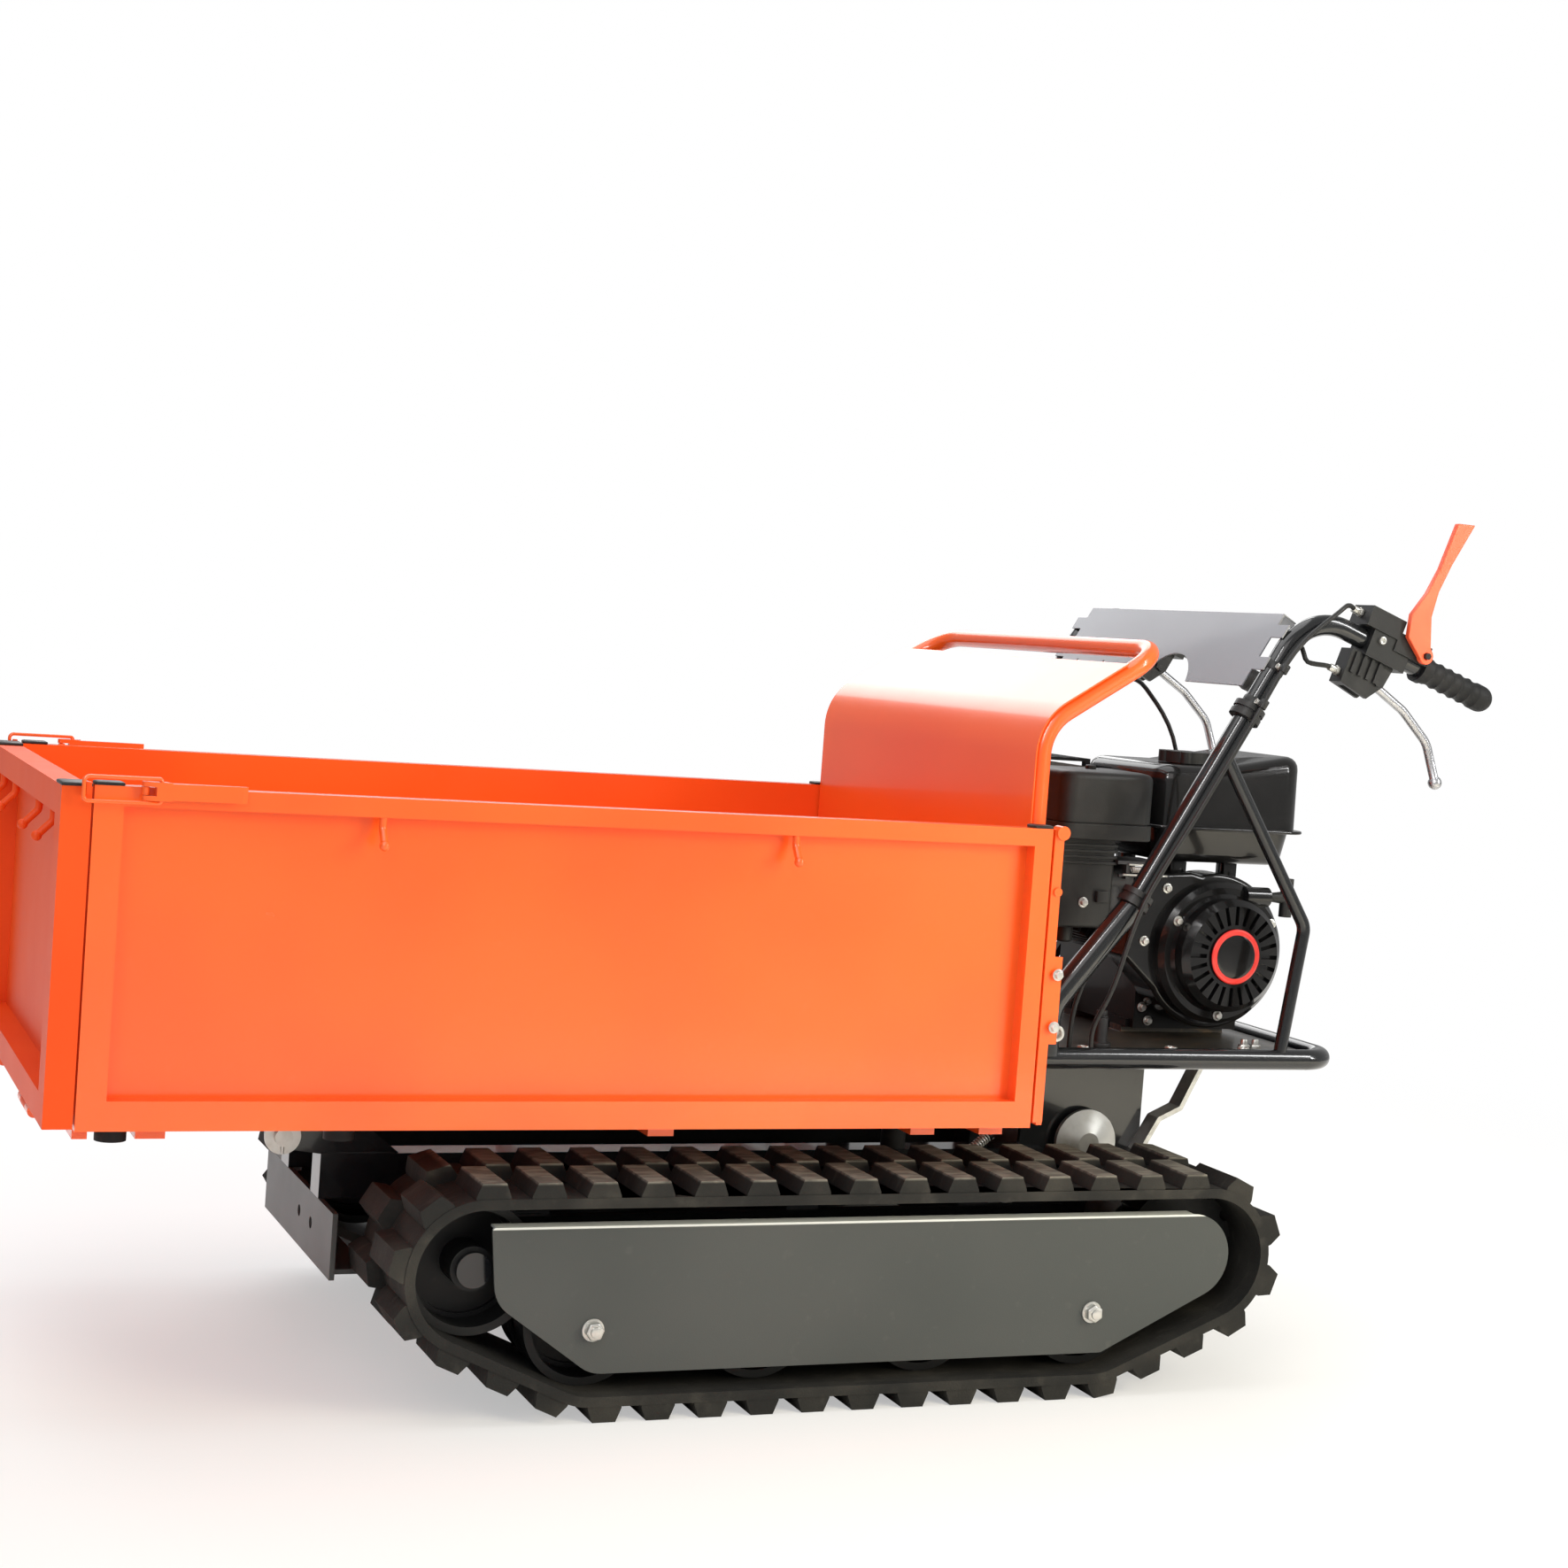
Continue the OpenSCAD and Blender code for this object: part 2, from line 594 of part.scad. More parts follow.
module chassis_frame() color(tube_black) {
    both() chassis_side();
    for (x = cross_x)
        square_tube([x - cross_s / 2, -beam_y, rail_z - cross_s], [cross_s, 2 * beam_y, cross_s], 1);
    // Pegs for the brake spring
    bar([spring_peg[0] + 6, spring_peg[1], rail_z - cut], spring_a - spring_seat * spring_axis, 4);
    bar(spring_a - (spring_seat + 3) * spring_axis, spring_a - spring_seat * spring_axis, 8);
    bar([front_post_x + 12, -rail_y - rail_w / 2 + cut, rail_top + 30], spring_b + (spring_seat + 1) * spring_axis, 4);
    bar(spring_b + spring_seat * spring_axis, spring_b + (spring_seat + 3) * spring_axis, 8);
}

// Front cross beam: an upright plate with a foot flange
front_t = 6;
front_flange = 50;
front_hole_z = rail_z - 34;
front_hole_y = -40;
module front_crossbeam() color(anthracite) difference() {
    union() {
        translate([front_x, -beam_w / 2, rail_z - front_h]) cube([front_t, beam_w, front_h]);
        translate([front_x, -track_in_y + 13, rail_z - front_h])
            cube([front_flange, 2 * track_in_y - 26, front_t]);
    }
    for (s = [-1, 1])
        translate([front_x - cut, front_hole_y + s * front_hole_pitch / 2, front_hole_z]) rotate([0, 90, 0])
            cylinder(r = front_hole_r, h = front_t + 2 * cut);
}

// Tipping pin with a washer and a split pin at each end
bed_ear_y = chassis_ear_y + tip_ear_t + 4;
washer_t = 3;
washer_y = bed_ear_y + tip_ear_t + 1;
pin_end_y = washer_y + washer_t + 8;
module tip_hinge_pin() color(steel) {
    pin_y(tip_x, tip_z, tip_pin_r, -pin_end_y, pin_end_y);
    both() {
        pin_y(tip_x, tip_z, tip_pin_r + 10, -washer_y - washer_t, -washer_y);
        translate([tip_x, -washer_y - washer_t - 3, tip_z - tip_pin_r - 8]) cylinder(r = 1.5, h = 2 * tip_pin_r + 14);
    }
}

// Rubber pads that the bed's rear end rests on
bed_rail_h = 30;
bed_rail_z = floor_z - bed_rail_h;
pad_gap = 0.3;
pad_x = wheel_x1 - 150;
module bed_rest_pads() color(rubber_dark) both()
    translate([pad_x, -rail_y, rail_top]) cylinder(r = 15, h = bed_rail_z - pad_gap - rail_top);

// DECK
deck_bend = 40;
module deck_rail() color(tube_black)
    pipe([[deck_x, -deck_y, deck_z], [deck_rear_x, -deck_y, deck_z], [deck_rear_x, deck_y, deck_z],
        [deck_x, deck_y, deck_z]], deck_r, [deck_bend, deck_bend]);

vbelt_y = plate_y + plate_t + 35;
vbelt_t = 9;
slot_w = vbelt_w + 18;
deck_fit = 0.1;
module deck_plate() color(anthracite) {
    w = deck_y - deck_r - deck_fit;
    difference() {
        translate([deck_x, -w, deck_z - deck_t / 2]) linear_extrude(deck_t) {
            square([deck_l - deck_r - deck_bend, 2 * w]);
            translate([deck_l - deck_r - 3 * deck_bend, 0])
                round_box(3 * deck_bend - deck_fit, 2 * w, deck_bend - deck_r - deck_fit);
        }
        // Opening for the drive belt
        translate([input_x, vbelt_y - slot_w / 2, deck_z - deck_t]) cube([150, slot_w, 2 * deck_t]);
    }
    // Strips under the engine's feet
    for (y = [-75, 45]) translate([crank_x - 80, y, deck_top]) cube([150, 30, riser_h]);
}

// Bolts and nuts, all zinc plated
module hex_nut(r, h) cylinder(r = r, h = h, $fn = 6);
deck_bolt_x = [88, 208, 310];
module fasteners() color(steel) {
    both() {
        for (x = deck_bolt_x) translate([deck_x + x, -deck_y + deck_r + 13, deck_top]) cylinder(r = 7, h = 6);
        // Clamp bolt through the handlebar's socket tube
        translate([bar_foot_x, -bar_y - socket_r, bar_foot_z + 20]) rotate([90, 0, 0]) difference() {
            cylinder(r = 9, h = 10);
            translate([0, 0, 5]) cylinder(r = 4, h = 6);
        }
        // Nuts of the side guards
        for (x = [wheel_x0, wheel_x1])
            translate([x, -guard_y, wheel_z]) rotate([90, 0, 0]) difference() {
                hex_nut(13, 7);
                translate([0, 0, -cut]) cylinder(r = stud_r + run_fit, h = 7 + 2 * cut);
            }
    }
}

// HANDLEBARS
module handlebar() difference() {
    union() {
        pipe(line_at_y([[bar_foot_x, deck_top + 1], bar_knee, bar_joint], -bar_y), socket_r, [45]);
        pipe(line_at_y([bar_joint - 10 * bar_dir, bar_top, bar_end - 8 * grip_dir], -bar_y), bar_r, [70]);
        pipe(line_at_y([stay_top, stay_knee, stay_foot], -bar_y), stay_r, [25]);
    }
    // Both feet are saddled to the deck rail
    translate([deck_x - cut, -bar_y, deck_z]) rotate([0, 90, 0]) cylinder(r = deck_r + run_fit, h = deck_l);
}
module handlebar_left() color(tube_black) handlebar();
module handlebar_right() color(tube_black) right() handlebar();

// Grip with finger waves, closed at its end
wave_n = 5;
module grip() {
    start = bar_end - grip_l * grip_dir;
    translate(at_y(start, -bar_y)) rotate([0, 90 + grip_drop, 0]) difference() {
        rotate_extrude() difference() {
            union() {
                square([grip_r, grip_l - grip_r]);
                translate([0, grip_l - grip_r]) intersection() {
                    circle(r = grip_r);
                    square(grip_r);
                }
                square([grip_r + 2, 8]);
            }
            for (k = [1:wave_n]) translate([grip_r + 15, 8 + k * 15]) circle(r = 16.8);
        }
        translate([0, 0, -cut]) cylinder(r = bar_r + run_fit, h = grip_l - 8 + cut);
    }
}
module handle_grips() color(rubber_dark) both() grip();

// Double-ribbed collars round the tubes: one at the socket, one under the console
module collar(p, r_in, r_out) translate(at_y(p, -bar_y)) rotate([0, 90 - bar_slope, 0]) difference() {
    union() {
        cylinder(r = r_out, h = 7);
        cylinder(r = r_out - 2, h = 18);
        translate([0, 0, 11]) cylinder(r = r_out, h = 7);
    }
    translate([0, 0, -cut]) cylinder(r = r_in + run_fit, h = 18 + 2 * cut);
}
module tube_collars() color(plastic_black) both() {
    collar(bar_joint + 2 * bar_dir, bar_r, bar_r + 7);
    collar(bar_joint + 0.63 * (bar_top - bar_joint), bar_r, bar_r + 7);
}

// Console: a sheet across the front of both handlebars, with a lip, an arch and two holes
console_y = bar_y - bar_r - 8;
console_at = bar_joint + 0.72 * (bar_top - bar_joint);
console_lip = 26;
arch_r = 58;
module console_panel() color(anthracite)
    translate(at_y(console_at, 0)) rotate([0, -bar_slope, 0]) translate([0, 0, bar_r]) {
        difference() {
            union() {
                translate([0, -console_y, 0]) cube([console_h, 2 * console_y, console_t]);
                for (x = [24, 70]) translate([x, -bar_y - 4, 0]) cube([18, 2 * bar_y + 8, console_t]);
            }
            translate([-18, -50, -cut]) cylinder(r = arch_r, h = console_t + 2 * cut);
            for (y = [120, 190]) translate([18, y, -cut]) cylinder(r = 4, h = console_t + 2 * cut);
        }
        translate([console_h - console_t, -console_y, -console_lip]) cube([console_t, 2 * console_y, console_lip]);
    }

// Lever clamps on the sloping tube: a switch box above and a ribbed lever perch below
steer_pivot = [4, -44];
steer_pin_r = 4;
lever_t = 12;
blade_t = 8;
perch_t = 12;
drive_pivot = [46, 10];
drive_pin_r = 4;
drive_y = -24.5;
module on_clamp() translate(at_y(clamp_at, -bar_y)) rotate([0, grip_drop, 0]) children();
module perch() difference() {
    union() {
        translate([-30, -18, -20]) cube([60, 36, 40]);
        difference() {
            union() {
                slab(-perch_t, perch_t) polygon([[-46, -18], [-46, -62], [-3, -67], [14, -45], [19, -18]]);
                // Ribs on the perch's outside
                for (k = [0:3]) translate([-40 + 12 * k, -perch_t - 3, -46]) cube([5, 2 * perch_t + 6, 26]);
            }
            // Slot for the lever
            translate([-36, -lever_t / 2 - side_gap, -70]) cube([60, lever_t + 2 * side_gap, 46]);
        }
        pin_y(steer_pivot[0], steer_pivot[1], steer_pin_r, -perch_t - 3, perch_t + 3);
    }
    rotate([0, 90, 0]) translate([0, 0, -80]) cylinder(r = bar_r + run_fit, h = 160);
}
module drive_box() difference() {
    union() {
        translate([-44, -20, 14]) cube([52, 40, 25]);
        // Bracket that carries the drive lever's pin
        translate([4, -20, 0]) cube([52, 6, 24]);
        pin_y(drive_pivot[0], drive_pivot[1], drive_pin_r, drive_y - blade_t / 2 - 4, -16);
    }
    rotate([0, 90, 0]) translate([0, 0, -80]) cylinder(r = bar_r + run_fit, h = 160);
}
module lever_housings() color(plastic_black) {
    on_clamp() perch();
    right() on_clamp() perch();
    on_clamp() drive_box();
}

// Drive lever: a flat orange blade, bent twice, beside the left-hand grip
module drive_lever() color(paint) on_clamp() difference() {
    slab(drive_y - blade_t / 2, drive_y + blade_t / 2) {
        translate(drive_pivot) circle(r = 10);
        polygon([[50, 1.5], [54, 8], [50, 16], [33, 56], [30, 88], [34, 126], [45, 183], [21, 175], [20, 114],
            [15, 80], [5, 48], [12, 21], [40, 3]]);
    }
    pin_y(drive_pivot[0], drive_pivot[1], drive_pin_r + run_fit, drive_y - 10, drive_y + 10);
}

// Steering lever: an eye on the perch's pin and a curved, ball-ended arm
module steering_lever() on_clamp() {
    difference() {
        union() {
            pin_y(steer_pivot[0], steer_pivot[1], 9, -lever_t / 2, lever_t / 2);
            pipe(line_at_y([steer_pivot, [61, -57], [110, -80], [143, -120]], 0), 5.5, [40, 40]);
            translate([143, 0, -120]) sphere(r = 8.5);
        }
        pin_y(steer_pivot[0], steer_pivot[1], steer_pin_r + run_fit, -10, 10);
    }
}
module steering_lever_left() color(steel) steering_lever();
module steering_lever_right() color(steel) right() steering_lever();

// Control cables, held from the levers down to the deck
cable_r = 3;
cable_side = bar_r + cable_r + 1.5;
cable_near = bar_r + cable_r + 8;
function clamp_point(p, y) =
    [clamp_at[0] + p[0] * cos(grip_drop) + p[1] * sin(grip_drop), y,
     clamp_at[1] - p[0] * sin(grip_drop) + p[1] * cos(grip_drop)];
function beside_bar(share, lift, y) =
    let (p = bar_joint + share * (bar_top - bar_joint) + lift * [-bar_dir[1], bar_dir[0]]) at_y(p, y);
cable_fit = 0.7;
steer_from = [[-46 - cable_fit, -49], [-62, -49]];
// The left-hand steering cable runs down inside the left handlebar
steer_left = concat([for (p = steer_from) clamp_point(p, -bar_y)],
    [clamp_point([-86, -54], -bar_y + 8)],
    [for (k = [0.9, 0.62, 0.3, 0.02]) beside_bar(k, -cable_side - 4, -bar_y + cable_side)],
    [for (p = [[70, 120], [44, 60]]) [bar_foot_x + p[0], -bar_y + cable_side, deck_z + p[1]]],
    [[bar_foot_x + 40, -bar_y + cable_side, deck_top + cable_fit]]);
// The drive cable leaves the switch box and runs down outside it, to the deck rail
drive_line = concat([clamp_point([-44 - cable_fit, 28], -bar_y), clamp_point([-54, 28], -bar_y),
    clamp_point([-70, 27], -bar_y - 8), clamp_point([-86, 12], -bar_y - 18)],
    [for (k = [0.86, 0.6, 0.3, 0.02]) beside_bar(k, 0, -bar_y - cable_near)],
    [[bar_foot_x + 72, -bar_y - cable_near + 2, deck_z + 90], [bar_foot_x + 60, -bar_y - 4, deck_z + 40],
    [bar_foot_x + 60, -bar_y, deck_z + deck_r + cable_fit]]);
// The right-hand steering cable swings over behind the engine
steer_right = concat([for (p = steer_from) clamp_point(p, bar_y)],
    [[bar_top[0] + 9, bar_y - 65, bar_top[1] - 92], [bar_top[0] + 13, bar_y - 125, bar_top[1] - 110],
    [bar_top[0] + 47, bar_y - 159, bar_top[1] - 192], [deck_rear_x - 25, bar_y - 155, deck_z + 180],
    [deck_rear_x - 23, bar_y - 149, deck_top + cable_fit]]);
module control_cables() color(plastic_black) {
    sweep(smooth(steer_left, 5), cable_r, 8);
    sweep(smooth(drive_line, 5), cable_r, 8);
    sweep(smooth(steer_right, 6), cable_r, 8, [1, 1, 1]);
}

// ENGINE
block_y0 = -95;
block_y1 = 105;
block_top = crank_z + 62;
crank_r = 12.5;
head_y = 50;
head_z = 46;
module on_cylinder() translate([crank_x, 0, crank_z]) rotate([0, 25, 0]) children();
module engine_block() color(casting) difference() {
    union() {
        translate([crank_x - 75, block_y0, base_z]) cube([150, block_y1 - block_y0, block_top - base_z]);
        on_cylinder() {
            translate([-150, -40, -40]) cube([100, 80, 80]);
            for (k = [0:fin_count - 1]) translate([-148 + k * 78 / (fin_count - 1), -58, -52]) cube([4, 116, 104]);
            translate([-176, -head_y, -head_z]) cube([26, 2 * head_y, 2 * head_z]);
        }
        // Feet
        for (y = [block_y0 + 10, block_y1 - 50]) translate([crank_x - 80, y, base_z]) cube([150, 40, 10]);
    }
    pin_y(crank_x, crank_z, crank_r + run_fit, block_y1 - 40, block_y1 + cut);
}

fan_y = -150;
module fan_cover() color(plastic_black) slab(fan_y, block_y0 - side_gap) {
    translate([crank_x, crank_z]) circle(r = fan_r);
    polygon([[crank_x - 128, crank_z - 10], [crank_x - 60, crank_z - 70], [crank_x, crank_z],
        [crank_x + 40, crank_z + 80], [crank_x - 40, crank_z + fan_r], [crank_x - 116, crank_z + fan_r - 5]]);
}

recoil_y = -196;
recoil_base_y = -168;
pull_at = [crank_x + 60, crank_z + 72];
pull_y = -166;
module recoil_cover() color(plastic_black) difference() {
    union() {
        spin_y(crank_x, crank_z) polygon([[0, fan_y], [fan_r - 9, fan_y], [fan_r - 9, recoil_base_y + 6],
            [fan_r - 15, recoil_base_y], [recoil_r + 4, recoil_base_y], [recoil_r, recoil_base_y - 4],
            [recoil_r, recoil_y + 8], [recoil_r - 8, recoil_y], [0, recoil_y]]);
        pin_y(crank_x, crank_z, 33, recoil_y - 3, recoil_y);
        // Boss that the starter cord leaves by
        translate([pull_at[0] - 34, pull_y, pull_at[1]]) rotate([0, 90, 0]) cylinder(r = 12, h = 34);
    }
    for (k = [0:slot_count - 1]) translate([crank_x, recoil_y, crank_z]) rotate([0, 360 * k / slot_count, 0])
        translate([39, -cut, -2.5]) cube([23, 9, 5]);
}

// Starter handle, pulled straight back on its cord
module pull_handle() color(plastic_black) translate([pull_at[0] + pad_gap, pull_y, pull_at[1]]) {
    rotate([0, 90, 0]) cylinder(r1 = 5, r2 = 8, h = 24);
    translate([28, 0, -24]) cylinder(r = 8, h = 48);
}

// Fuel tank: two pressed halves that meet in a lip, with a filler neck
tank_x0 = crank_x - 98;
tank_y0 = -150;
tank_z0 = crank_z + 108;
lip_z = tank_z0 + 42;
cap_at = [crank_x - 18, -75];
neck_h = 8;
module tank_outline(inset) translate([tank_x0 + inset, tank_y0 + inset])
    round_box(tank_l - 2 * inset, tank_w - 2 * inset, 28);
module round_box(l, w, r) {
    translate([r, 0]) square([l - 2 * r, w]);
    translate([0, r]) square([l, w - 2 * r]);
    for (x = [r, l - r], y = [r, w - r]) translate([x, y]) circle(r = r);
}
module fuel_tank() color(plastic_black) {
    translate([0, 0, tank_z0]) linear_extrude(lip_z - tank_z0 + cut) tank_outline(14);
    translate([0, 0, lip_z]) linear_extrude(4) tank_outline(0);
    translate([0, 0, lip_z + 3]) linear_extrude(tank_h - 65) tank_outline(8);
    translate([0, 0, lip_z + 3]) linear_extrude(tank_h - 45) tank_outline(18);
    translate([cap_at[0], cap_at[1], tank_z0 + tank_h - 6]) cylinder(r = neck_r, h = neck_h + 6);
    // Legs down to the crankcase
    for (x = [62, 140], y = [60, 180]) translate([tank_x0 + x, tank_y0 + y, block_top])
        cube([20, 20, tank_z0 - block_top + cut]);
}
cap_h = 14;
module fuel_cap() color(plastic_black) translate([cap_at[0], cap_at[1], tank_z0 + tank_h + pad_gap]) difference() {
    union() {
        cylinder(r = cap_r, h = cap_h);
        for (k = [0:5]) rotate(60 * k) translate([cap_r - 4, 0, 0]) cylinder(r = 8, h = cap_h);
    }
    translate([0, 0, -cut]) cylinder(r = neck_r + run_fit, h = neck_h + cut);
}

// Air cleaner: a boxy cover over a narrower choke housing
air_x0 = crank_x - 248;
air_l = 130;
air_y0 = -185;
air_w = 116;
air_z0 = crank_z + 135;
air_h = 84;
choke_h = 108;
module air_cleaner() color(plastic_black) {
    translate([air_x0, air_y0, air_z0]) linear_extrude(air_h - 8) round_box(air_l, air_w, 18);
    translate([air_x0 + 5, air_y0 + 5, air_z0]) linear_extrude(air_h) round_box(air_l - 10, air_w - 10, 14);
    translate([air_x0 + 8, air_y0 + 12, air_z0 - choke_h]) cube([76, air_w - 24, choke_h + cut]);
    for (k = [0:3]) translate([air_x0 + 5, air_y0 + 9, air_z0 - 9 - 7 * k]) cube([78, air_w - 18, 3.5]);
}

// Carburettor beside the choke housing, with its throttle plate and rods
module carburettor() color(casting) {
    x = air_x0 + 84;
    y = air_y0 + 60;
    z = air_z0 - 50;
    translate([x, y, z]) rotate([0, 90, 0]) cylinder(r = 19, h = 44);
    translate([x + 20, y, z - 44]) cylinder(r = 17, h = 44);
    translate([x, air_y0 + 6, z + 22]) cube([66, 64, 4]);
    translate([x + 4, air_y0 + 10, z + 8]) rotate([0, 90, 0]) cylinder(r = 2, h = 62);
    translate([x + 12, air_y0 + 6, z + 4]) cube([5, 10, 20]);
    translate([x + 52, air_y0 + 6, z + 4]) cube([5, 10, 20]);
    translate([x + 20, y - 40, z + 14]) cube([12, 46, 10]);
    // Intake pipe to the side of the cylinder head
    on_cylinder() pin_y(-166, 20, 13, y, -head_y);
}

// Muffler over the cylinder on the far side, hollow, with its outlet, and a grid over it
muffler_at = [crank_x - 238, 18, crank_z + 126];
muffler_size = [tank_x0 - muffler_at[0] - 4, 118, 88];
muffler_wall = 3;
module muffler() color(casting) difference() {
    union() {
        translate(muffler_at) cube(muffler_size);
        translate(muffler_at + [43, muffler_size[1] - 2, 44]) rotate([-90, 0, 0]) cylinder(r = 14, h = 20);
        // Pipe down to the cylinder head
        on_cylinder() translate([-163, 30, head_z]) cylinder(r = 13, h = 30);
    }
    translate(muffler_at + muffler_wall * [1, 1, 1]) cube(muffler_size - 2 * muffler_wall * [1, 1, 1]);
    translate(muffler_at + [43, muffler_size[1] - 8, 44]) rotate([-90, 0, 0]) cylinder(r = 11, h = 40);
}
grid_n = [8, 6];
grid_t = 4;
grid_gap = 6;
module muffler_guard() color(plastic_black) translate(muffler_at + [0, 0, muffler_size[2]]) {
    size = [muffler_size[0], muffler_size[1]];
    cell = [size[0] / grid_n[0], size[1] / grid_n[1]];
    difference() {
        translate([0, 0, grid_gap]) cube([size[0], size[1], grid_t]);
        for (i = [0:grid_n[0] - 1], j = [0:grid_n[1] - 1])
            translate([i * cell[0] + 3, j * cell[1] + 3, grid_gap - cut])
                cube([cell[0] - 6, cell[1] - 6, grid_t + 2 * cut]);
    }
    for (x = [0, size[0] - 8], y = [0, size[1] - 8]) translate([x, y, 0]) cube([8, 8, grid_gap + cut]);
}

// DRIVE
module groove_pulley(r, w) {
    difference() {
        translate([0, -w / 2]) square([r + vbelt_t / 2 + 4, w]);
        translate([r - vbelt_t / 2, -vbelt_w / 2 - side_gap]) square([vbelt_t + 10, vbelt_w + 2 * side_gap]);
    }
}
pulley_w = vbelt_w + 10;
module engine_pulley() color(casting) {
    translate([0, vbelt_y, 0]) spin_y(crank_x, crank_z) groove_pulley(engine_pulley_r, pulley_w);
    pin_y(crank_x, crank_z, crank_r, block_y1 - 30, vbelt_y);
}
module gearbox_pulley() color(steel) {
    translate([0, vbelt_y, 0]) spin_y(input_x, input_z) groove_pulley(gear_pulley_r, pulley_w);
    pin_y(input_x, input_z, input_r, -plate_y - plate_t - 14, vbelt_y);
    // Brake disc on the near end, slightly dished
    spin_y(input_x, input_z) polygon([[0, -plate_y - plate_t - 22], [14, -plate_y - plate_t - 22],
        [disc_r - 8, -plate_y - plate_t - 16], [disc_r, -plate_y - plate_t - 14],
        [disc_r, -plate_y - plate_t - 8], [0, -plate_y - plate_t - 8]]);
}
module drive_belt() color(rubber_dark) slab(vbelt_y - vbelt_w / 2, vbelt_y + vbelt_w / 2) difference() {
    ends = [[input_x, input_z, gear_pulley_r - vbelt_t / 2 + belt_gap],
        [crank_x, crank_z, engine_pulley_r - vbelt_t / 2 + belt_gap]];
    wrap(ends, vbelt_t);
    wrap(ends);
}

// Gearbox between the side plates, with true bores for its shafts
case_y = plate_y;
module gearbox_case() color(casting) difference() {
    union() {
        slab(-case_y, case_y)
            wrap([[sprocket_x, end_z, 52], [input_x, input_z, 46], [input_x - 14, end_z + 20, 40]]);
        pin_y(sprocket_x, end_z, boss_r, -track_in_y + 6, -case_y + cut);
        pin_y(sprocket_x, end_z, boss_r, case_y - cut, track_in_y - 6);
    }
    pin_y(input_x, input_z, input_r + run_fit, -case_y - cut, case_y + cut);
    pin_y(sprocket_x, end_z, shaft_r + run_fit, -track_in_y, -shaft_in_y + 2);
    pin_y(sprocket_x, end_z, shaft_r + run_fit, shaft_in_y - 2, track_in_y);
}

// Bent flat strap from the deck down to the gearbox's rear end
strap_w = 26;
strap_t = 6;
strap_z = deck_z - deck_t / 2 - strap_t / 2;
strap_line = [[deck_x + 366, strap_z], [deck_x + 340, strap_z], [deck_x + 300, input_z + 46],
    [deck_x + 270, input_z + 32], [deck_x + 246, input_z - 10]];
strap_y = -plate_y - plate_t - strap_w / 2;
module gearbox_strap() color(steel) {
    slab(strap_y - strap_w / 2, strap_y + strap_w / 2) for (i = [0:len(strap_line) - 2]) {
        p = strap_line[i];
        q = strap_line[i + 1];
        n = unit([q[1] - p[1], p[0] - q[0]]) * strap_t / 2;
        polygon([p + n, q + n, q - n, p - n]);
        if (i < len(strap_line) - 2) translate(q) circle(r = strap_t / 2);
    }
}

// Brake return spring: one unbroken coil between its two pegs
spring_r = 6;
spring_wire_r = 1.1;
spring_turns = 13;
spring_seat = spring_wire_r + 0.3;
spring_a = [spring_peg[0] + 9, spring_peg[1], rail_z + 46];
spring_b = [front_post_x + 3, spring_peg[1], rail_top + 24];
spring_axis = unit(spring_b - spring_a);
spring_side = unit(cross(spring_axis, [0, 1, 0]));
spring_l = norm(spring_b - spring_a);
spring_steps = 8;
function spring_point(k) =
    let (a = 360 * k / spring_steps)
    spring_a + spring_axis * (spring_l * k / (spring_turns * spring_steps))
    + spring_r * (cos(a) * spring_side + sin(a) * [0, 1, 0]);
spring_line = [for (k = [0:spring_turns * spring_steps]) spring_point(k)];
spring_clear = min([for (k = [0:spring_steps], j = [spring_steps - 2:spring_steps + 2])
    norm(spring_point(k) - spring_point(k + j))]) - 2 * spring_wire_r;
echo(spring_least_gap = spring_clear);
module brake_spring() color(steel) sweep(spring_line, spring_wire_r, 6, spring_axis);

// LOAD BED
// Drop hinge along X at [y, z]: two fixed knuckles with their pin, or the knuckle of the panel between them
knuckle_l = 40;
fixed_knuckle_l = 24;
function knuckle_gap() = side_gap;
module x_rod(x, y, z, r, l) translate([x - l / 2, y, z]) rotate([0, 90, 0]) cylinder(r = r, h = l);
module fixed_knuckles(x, y, z, inner) {
    step = (knuckle_l + fixed_knuckle_l) / 2 + knuckle_gap();
    x_rod(x, y, z, knuckle_pin_r, 2 * step + fixed_knuckle_l);
    for (s = [-1, 1]) {
        x_rod(x + s * step, y, z, knuckle_r, fixed_knuckle_l);
        translate([x + s * step - fixed_knuckle_l / 2, min(y, inner), z - floor_t])
            cube([fixed_knuckle_l, abs(inner - y), floor_t]);
    }
}
module panel_knuckle(x, y, z, outer) difference() {
    union() {
        x_rod(x, y, z, knuckle_r, knuckle_l);
        translate([x - knuckle_l / 2, min(y, outer), z - 3]) cube([knuckle_l, abs(outer - y), 6]);
    }
    x_rod(x, y, z, knuckle_pin_r + run_fit, knuckle_l + 2 * cut);
}
side_hinge_x = [bed_front_x + 170, bed_rear_x - 170];
gate_hinge_y = 150;

